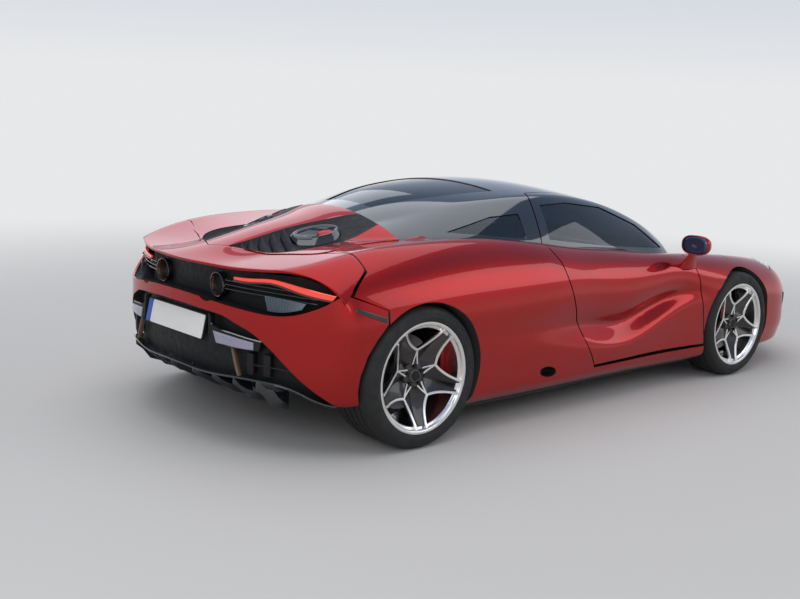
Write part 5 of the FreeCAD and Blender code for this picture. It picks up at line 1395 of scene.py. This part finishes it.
# a caliper's section over the disc, and the profile of the bosses on its face
caliper = {"reach": 0.184, "inner": 0.118, "face": 0.011, "gap": 0.006, "gapTop": 0.01, "sweep": 27,
           "steps": 19, "taper": 0.3, "bossAngles": (-15, 0, 15), "bossRadius": 0.16, "bossSink": 0.002,
           "bevel": 0.0025,
           "section": [(0.118, 0.008), (0.122, 0.011), (0.198, 0.011), (0.212, -0.003), (0.212, -0.071),
                       (0.2, -0.083), (0.122, -0.083), (0.118, -0.079), (0.118, -0.06), (0.19, -0.06),
                       (0.19, -0.012), (0.118, -0.012), (0.118, 0.008)],
           "boss": [(0.0, 0.0), (0.02, 0.0), (0.019, 0.004), (0.015, 0.007), (0.0, 0.007)]}
hubAxis = ((0, 0, 0), (0, 1, 0))
axles = {
    "front": {"x": frontAxle, "track": car["frontTrack"], "radius": car["frontRadius"], "rim": 0.256,
              "half": 0.12, "caliperAngle": 180},
    "rear": {"x": rearAxle, "track": car["rearTrack"], "radius": car["rearRadius"], "rim": 0.269,
             "half": 0.148, "caliperAngle": 0},
}


def tyreOn(axle):
    outer, rim, half = axle["radius"], axle["rim"], axle["half"]
    side = [(outer, 0)]
    lip, (firstRound, secondRound) = wheel["grooveLip"], wheel["grooveRound"]
    for groove in wheel["grooves"]:
        edge = groove + wheel["grooveWidth"]
        side += [(outer - firstRound, groove - lip), (outer - wheel["grooveDepth"], groove + lip),
                 (outer - wheel["grooveDepth"], edge - lip), (outer - secondRound, edge + lip)]
    side += [(outer - fall, half - inset) for fall, inset in wheel["shoulder"]]
    side += [(rim + rise, half - inset) for rise, inset in wheel["bead"]]
    tyre = turnedSkin("tyre", side + [(r, -y) for r, y in side[:0:-1]], *hubAxis, wheel["tyreSteps"], 28)
    makeActive(tyre)
    # blocks on the shoulder: every fourth face sunk
    inside = wheel["grooves"][1] + wheel["grooveWidth"] + wheel["treadFrom"]
    for face in tyre.data.polygons:
        x, y, z = face.center
        turn = int((math.degrees(math.atan2(z, x)) + 360) / 360 * wheel["tyreSteps"])
        face.select = (math.hypot(x, z) > outer - wheel["treadFall"]
                       and inside < abs(y) < half - wheel["treadTo"] and turn % wheel["treadStep"] == 0)
    bpy.ops.object.mode_set(mode="EDIT")
    bpy.ops.mesh.select_mode(type="FACE")
    bpy.ops.mesh.extrude_region_shrink_fatten(TRANSFORM_OT_shrink_fatten={"value": -wheel["treadDepth"]})
    bpy.ops.object.mode_set(mode="OBJECT")
    smoothShade(tyre, 28)
    return tyre


def barrelOn(axle):
    profile = [(axle["rim"] + rise, axle["half"] * side + offset) for rise, offset, side in wheel["barrel"]]
    return turnedSkin("barrel", profile, *hubAxis, 120, 40)


def faceHeight(axle, reach):
    # how far out the spokes' faces lie at a radius: dished towards the hub
    flat = wheel["flatReach"]
    share = np.clip((reach - flat) / (axle["rim"] * wheel["rimShare"] - flat), 0, 1.1)
    outer = axle["half"] - wheel["rimFaceIn"]
    return wheel["hubFace"] + (outer - wheel["hubFace"]) * share ** wheel["dish"]


def onSpoke(axle, along, across, angle, lift=0.0):
    # a place given along and across a spoke's middle line
    reach = np.hypot(along, across)
    turn = np.radians(angle)
    x = along * np.cos(turn) - across * np.sin(turn)
    z = along * np.sin(turn) + across * np.cos(turn)
    return np.stack([x, faceHeight(axle, reach) + lift, z], axis=-1)


def towards(degrees):
    return np.array([math.cos(math.radians(degrees)), math.sin(math.radians(degrees))])


def ribPath(axle, count=22):
    # half of a spoke's outline in its own lines: rim end, curved in, out to the node, then in to the hub
    rimEnd = towards(wheel["rimHalfAngle"]) * (axle["rim"] * wheel["rimShare"] + wheel["rimPast"])
    nodeEnd = towards(180 / wheel["spokes"]) * axle["rim"] * wheel["nodeShare"]
    hubEnd = towards(wheel["hubHalfAngle"]) * (wheel["hubReach"] - wheel["hubShort"])
    bend = rimEnd * wheel["bendShare"] + nodeEnd * (1 - wheel["bendShare"]) - (0, wheel["bendIn"])
    share = np.linspace(0, 1, count)[:, None]
    outerPart = rimEnd * (1 - share) ** 2 + 2 * bend * share * (1 - share) + nodeEnd * share ** 2
    share = np.linspace(0, 1, count // 2)[:, None]
    innerPart = nodeEnd * (1 - share) + hubEnd * share
    return outerPart, innerPart


def ribFrom(axle, path, angle, sign, width):
    # a bright bar along a path, with a flat top and sloping sides
    along = np.gradient(path, axis=0)
    along /= np.linalg.norm(along, axis=1)[:, None]
    side = np.column_stack([-along[:, 1], along[:, 0]])
    rings = []
    for across, down in wheel["ribSection"]:
        line = path + side * across * width / 2
        rings.append(onSpoke(axle, line[:, 0], line[:, 1] * sign, angle,
                             wheel["ribRise"] - down * wheel["ribDepth"]))
    return skinOf("rib", np.array(rings).transpose(1, 0, 2), wrap=True, cap=True, bevel=wheel["ribBevel"],
                  smooth=30)


def channelOf(axle, angle):
    # the recessed leaf between a spoke's two ribs, folded along its middle
    outerPart, innerPart = ribPath(axle)
    edge = np.vstack([outerPart, innerPart[1:]])
    across = np.linspace(-1, 1, 9)
    points = onSpoke(axle, edge[:, :1] * np.ones(len(across)), edge[:, 1:] * across, angle)
    fold = wheel["edgeFold"] + (1 - wheel["edgeFold"]) * (1 - abs(across))
    points[:, :, 1] -= wheel["channelDepth"] * fold + wheel["leafSink"]
    return skinOf("channel", points, thick=wheel["leafThickness"], offset=-1, smooth=40)


def faceOn(axle):
    bright, dark = [], []
    outerPart, innerPart = ribPath(axle)
    for k in range(wheel["spokes"]):
        angle = wheel["firstSpoke"] + k * 360 / wheel["spokes"]
        for sign in (1, -1):
            bright.append(ribFrom(axle, outerPart, angle, sign, wheel["ribWidth"]))
            bright.append(ribFrom(axle, innerPart, angle, sign, wheel["barWidth"]))
        dark.append(channelOf(axle, angle))
    hubProfile = [(radius, wheel["hubFace"] + rise) for radius, rise in wheel["hub"]]
    hubBack = [(hubProfile[-1][0], wheel["hubBack"]), (hubProfile[0][0], wheel["hubBack"])]
    dark.append(turnedSkin("hub", hubBack + hubProfile, *hubAxis, 60))
    return join("ribs", bright), join("channels", dark)


def capOn():
    # black centre cap and five wheel bolts
    capProfile = [(radius, wheel["hubFace"] + rise) for radius, rise in wheel["cap"]]
    pieces = [turnedSkin("cap", capProfile, *hubAxis, 48)]
    for k in range(wheel["spokes"]):
        turn = math.radians(wheel["firstSpoke"] + (k + 0.5) * 360 / wheel["spokes"])
        place = Vector((math.cos(turn), 0, math.sin(turn))) * wheel["boltCircle"]
        deselectAll()
        bpy.ops.mesh.primitive_cylinder_add(vertices=6, radius=wheel["boltRadius"],
                                            depth=wheel["boltLength"],
                                            location=place + Vector((0, wheel["hubFace"] + wheel["boltRise"],
                                                                     0)),
                                                                     rotation=(math.radians(90), turn, 0))
        bolt = bpy.context.object
        bpy.ops.object.transform_apply(location=True, rotation=True, scale=True)
        applyModifier(bolt, "BEVEL", width=wheel["boltBevel"], segments=2, limit_method="ANGLE")
        pieces.append(bolt)
    return join("cap", pieces)


def caliperOn(axle):
    # a bridge over the disc with cheeks and piston bosses
    share = np.linspace(-1, 1, caliper["steps"])
    sweep = np.radians(share * caliper["sweep"] + axle["caliperAngle"])
    taper = 1 - caliper["taper"] * np.abs(share) ** 3
    gapEdge = caliper["reach"] + caliper["gap"]
    rings = []
    for turn, narrow in zip(sweep, taper):
        ring = []
        for radius, height in caliper["section"]:
            shrunk = caliper["inner"] + (radius - caliper["inner"]) * narrow
            radius = max(shrunk, radius if radius <= gapEdge else caliper["reach"] + caliper["gapTop"])
            ring.append((radius * math.cos(turn), height, radius * math.sin(turn)))
        rings.append(ring)
    pieces = [skinOf("caliperBody", rings, wrap=True, cap=True, bevel=caliper["bevel"])]
    for step in caliper["bossAngles"]:
        turn = math.radians(axle["caliperAngle"] + step)
        place = (math.cos(turn) * caliper["bossRadius"], caliper["face"] - caliper["bossSink"],
                 math.sin(turn) * caliper["bossRadius"])
        pieces.append(turnedSkin("boss", caliper["boss"], place, (0, 1, 0), 32))
    return join("caliper", pieces)


def placeWheelPiece(piece, name, axle, side, body, finish, replaced):
    matrix = Matrix.Translation((axle["x"], axle["track"] * side, axle["radius"]))
    if side < 0:
        matrix = matrix @ acrossCar
    twin = copyOf(piece, name, matrix)
    for polygon in twin.data.polygons:
        polygon.use_smooth = True
    return dress(twin, body, finish, replaced)


for end, axle in axles.items():
    ribs, channels = faceOn(axle)
    disc = turnedSkin("disc", wheel["disc"], *hubAxis, 96)
    calipers = caliperOn(axle)
    # piece, name, finish, slot, node that it replaces
    turning = [
        (tyreOn(axle), "tyreTread_", tyreRubber, "tyre", "tyre_"),
        (barrelOn(axle), "rimBarrel_", brightAlloy, "alloy", "rim_"),
        (ribs, "rimRibs_", brightAlloy, "alloy", None),
        # the channels' darker alloy is painted shade in the recesses between the ribs
        (channels, "rimChannels_", darkAlloy, "alloy", None),
        (capOn(), "wheelCap_", darkPlastic, "black_matte", None),
        # the disc's darkened steel is painted shade inside the wheel
        (disc, "brakeDisc_", discSteel, "steel", "disc_"),
    ]
    for sideName, side in (("left", 1), ("right", -1)):
        corner = end + "_" + sideName
        for piece, name, finish, slotName, node in turning:
            placeWheelPiece(piece, name + corner, axle, side, "wheel_" + corner, finish,
                            (node + corner,) if node else ())
        body, node = "shell", "rear_calipers"
        if end == "front":
            body, node = "upright_" + sideName, "caliper_" + corner
        placeWheelPiece(calipers, "brakeCaliper_" + corner, axle, side, body, caliperRed, (node,))
    for piece in [calipers] + [row[0] for row in turning]:
        bpy.data.objects.remove(piece)
    print("wheels", end)


# Plain finishes for the frame's own pieces that stay.
carried = [
    ("tub", trayPlastic), ("underfloor", trayPlastic), ("engine_block", castIron),
    ("dashboard", leather), ("steering_wheel", leather), ("headlamps", clearLens),
    ("front_suspension", castAluminium), ("rear_uprights", castAluminium), ("drive_shafts", castIron),
    ("wing_sleeves", castAluminium), ("knuckle_left", castAluminium), ("knuckle_right", castAluminium),
]
for node, finish in carried:
    if node in nodes:
        piece = nodes[node]
        piece.data.materials.clear()
        piece.data.materials.append(finish)


# Studio: a pale floor, a soft overhead panel and two side panels.
studio = {"floorSize": 80.0, "floorColour": (0.56, 0.56, 0.57), "sky": (0.8, 0.81, 0.82),
          "upper": (0.46, 0.53, 0.66), "overhead": (0.22, 0.31, 0.48), "fadeFrom": 2.8, "fadeTo": 9.0,
          "light": 0.5, "ramp": [(0.02, "sky"), (0.22, "upper"), (0.75, "overhead")]}
deselectAll()
bpy.ops.mesh.primitive_circle_add(vertices=96, radius=studio["floorSize"] / 2, fill_type="NGON")
floor = bpy.context.object
floor.name = "studioFloor"
floorFinish = newFinish("studioFloorFinish", {"Roughness": 0.85},
                        (1.5, tuple(c * 0.98 for c in studio["floorColour"]), studio["floorColour"]))
floor.data.materials.append(floorFinish)
# far from the car the floor fades into the backdrop's colour
place = addNode(floorFinish, "ShaderNodeTexCoord")
away = addNode(floorFinish, "ShaderNodeVectorMath", operation="LENGTH")
fade = addNode(floorFinish, "ShaderNodeMapRange", interpolation_type="SMOOTHSTEP")
setInputs(fade, {"From Min": studio["fadeFrom"], "From Max": studio["fadeTo"]})
glow = addNode(floorFinish, "ShaderNodeEmission")
setInputs(glow, {"Color": (*studio["sky"], 1)})
blend = addNode(floorFinish, "ShaderNodeMixShader")
floorSurface = floorFinish.node_tree.nodes["Material Output"].inputs["Surface"]
for source, target in ((place.outputs["Object"], away.inputs[0]),
                       (away.outputs["Value"], fade.inputs["Value"]),
                       (fade.outputs["Result"], blend.inputs["Fac"]),
                       (shaderOf(floorFinish).outputs[0], blend.inputs[1]),
                       (glow.outputs[0], blend.inputs[2]), (blend.outputs[0], floorSurface)):
    link(floorFinish, source, target)

world = bpy.data.worlds.new("studioWorld")
bpy.context.scene.world = world
world.use_nodes = True
lightBackground = world.node_tree.nodes["Background"]
setInputs(lightBackground, {"Color": (*studio["sky"], 1), "Strength": studio["light"]})
# what the camera, metal and glass see: pale at the horizon, cooler and darker overhead
seenBackground = addNode(world, "ShaderNodeBackground")
direction = addNode(world, "ShaderNodeTexCoord")
parts = addNode(world, "ShaderNodeSeparateXYZ")
ramp = addNode(world, "ShaderNodeValToRGB")
stops = ramp.color_ramp.elements
stops.new(studio["ramp"][1][0])
for stop, (position, colour) in zip(stops, studio["ramp"]):
    stop.position = position
    stop.color = (*studio[colour], 1)
rays = addNode(world, "ShaderNodeLightPath")
either = addNode(world, "ShaderNodeMath", operation="MAXIMUM")
anyOf = addNode(world, "ShaderNodeMath", operation="MAXIMUM")
choice = addNode(world, "ShaderNodeMixShader")
for source, target in ((direction.outputs["Generated"], parts.inputs[0]),
                       (parts.outputs["Z"], ramp.inputs["Fac"]),
                       (ramp.outputs["Color"], seenBackground.inputs["Color"]),
                       (rays.outputs["Is Camera Ray"], either.inputs[0]),
                       (rays.outputs["Is Transmission Ray"], either.inputs[1]),
                       (either.outputs[0], anyOf.inputs[0]), (rays.outputs["Is Glossy Ray"],
                                                              anyOf.inputs[1]),
                                                              (anyOf.outputs[0], choice.inputs["Fac"]),
                                                              (lightBackground.outputs[0], choice.inputs[1]),
                       (seenBackground.outputs[0], choice.inputs[2]),
                       (choice.outputs[0], world.node_tree.nodes["World Output"].inputs["Surface"])):
    link(world, source, target)

# lamp, place, what it points at, size, strength
lamps = [
    ("overhead", (-0.6, 0.4, 7.0), (-0.2, 0, 0.6), (12.0, 8.0), 330.0),
    ("rearSide", (-7.5, -5.5, 4.6), (-1.0, -0.4, 0.6), (8.0, 4.0), 190.0),
    ("frontSide", (5.5, -6.5, 4.8), (1.0, -0.6, 0.5), (8.0, 4.0), 150.0),
    ("farSide", (0.5, 8.5, 5.0), (0, 0.5, 0.6), (10.0, 4.0), 110.0),
]
for name, place, aim, size, strength in lamps:
    deselectAll()
    bpy.ops.object.light_add(type="AREA", location=place)
    lamp = bpy.context.object
    lamp.name = "lamp_" + name
    lamp.data.shape = "RECTANGLE"
    lamp.data.size, lamp.data.size_y = size
    lamp.data.energy = strength
    lamp.rotation_euler = (Vector(aim) - Vector(place)).to_track_quat("-Z", "Y").to_euler()

camera = {"azimuth": -41.743, "elevation": 10.1775, "roll": 2.3463, "distance": 6.3302,
          "target": (-0.7909, 0, 0.5091), "focalPixels": 1115.37, "frameWidth": 800, "sensor": 36.0}
azimuth, elevation = math.radians(camera["azimuth"]), math.radians(camera["elevation"])
back = Vector((math.sin(azimuth) * math.cos(elevation), -math.cos(azimuth) * math.cos(elevation),
               math.sin(elevation)))
deselectAll()
bpy.ops.object.camera_add(location=Vector(camera["target"]) + back * camera["distance"])
eye = bpy.context.object
eye.name = "photoCamera"
eye.rotation_mode = "QUATERNION"
turn = Matrix.Rotation(math.radians(camera["roll"]), 3, back)
eye.rotation_quaternion = (turn @ back.to_track_quat("Z", "Y").to_matrix()).to_quaternion()
eye.data.sensor_width = camera["sensor"]
eye.data.lens = camera["focalPixels"] * camera["sensor"] / camera["frameWidth"]
bpy.context.scene.camera = eye
bpy.context.scene.view_settings.view_transform = "Standard"
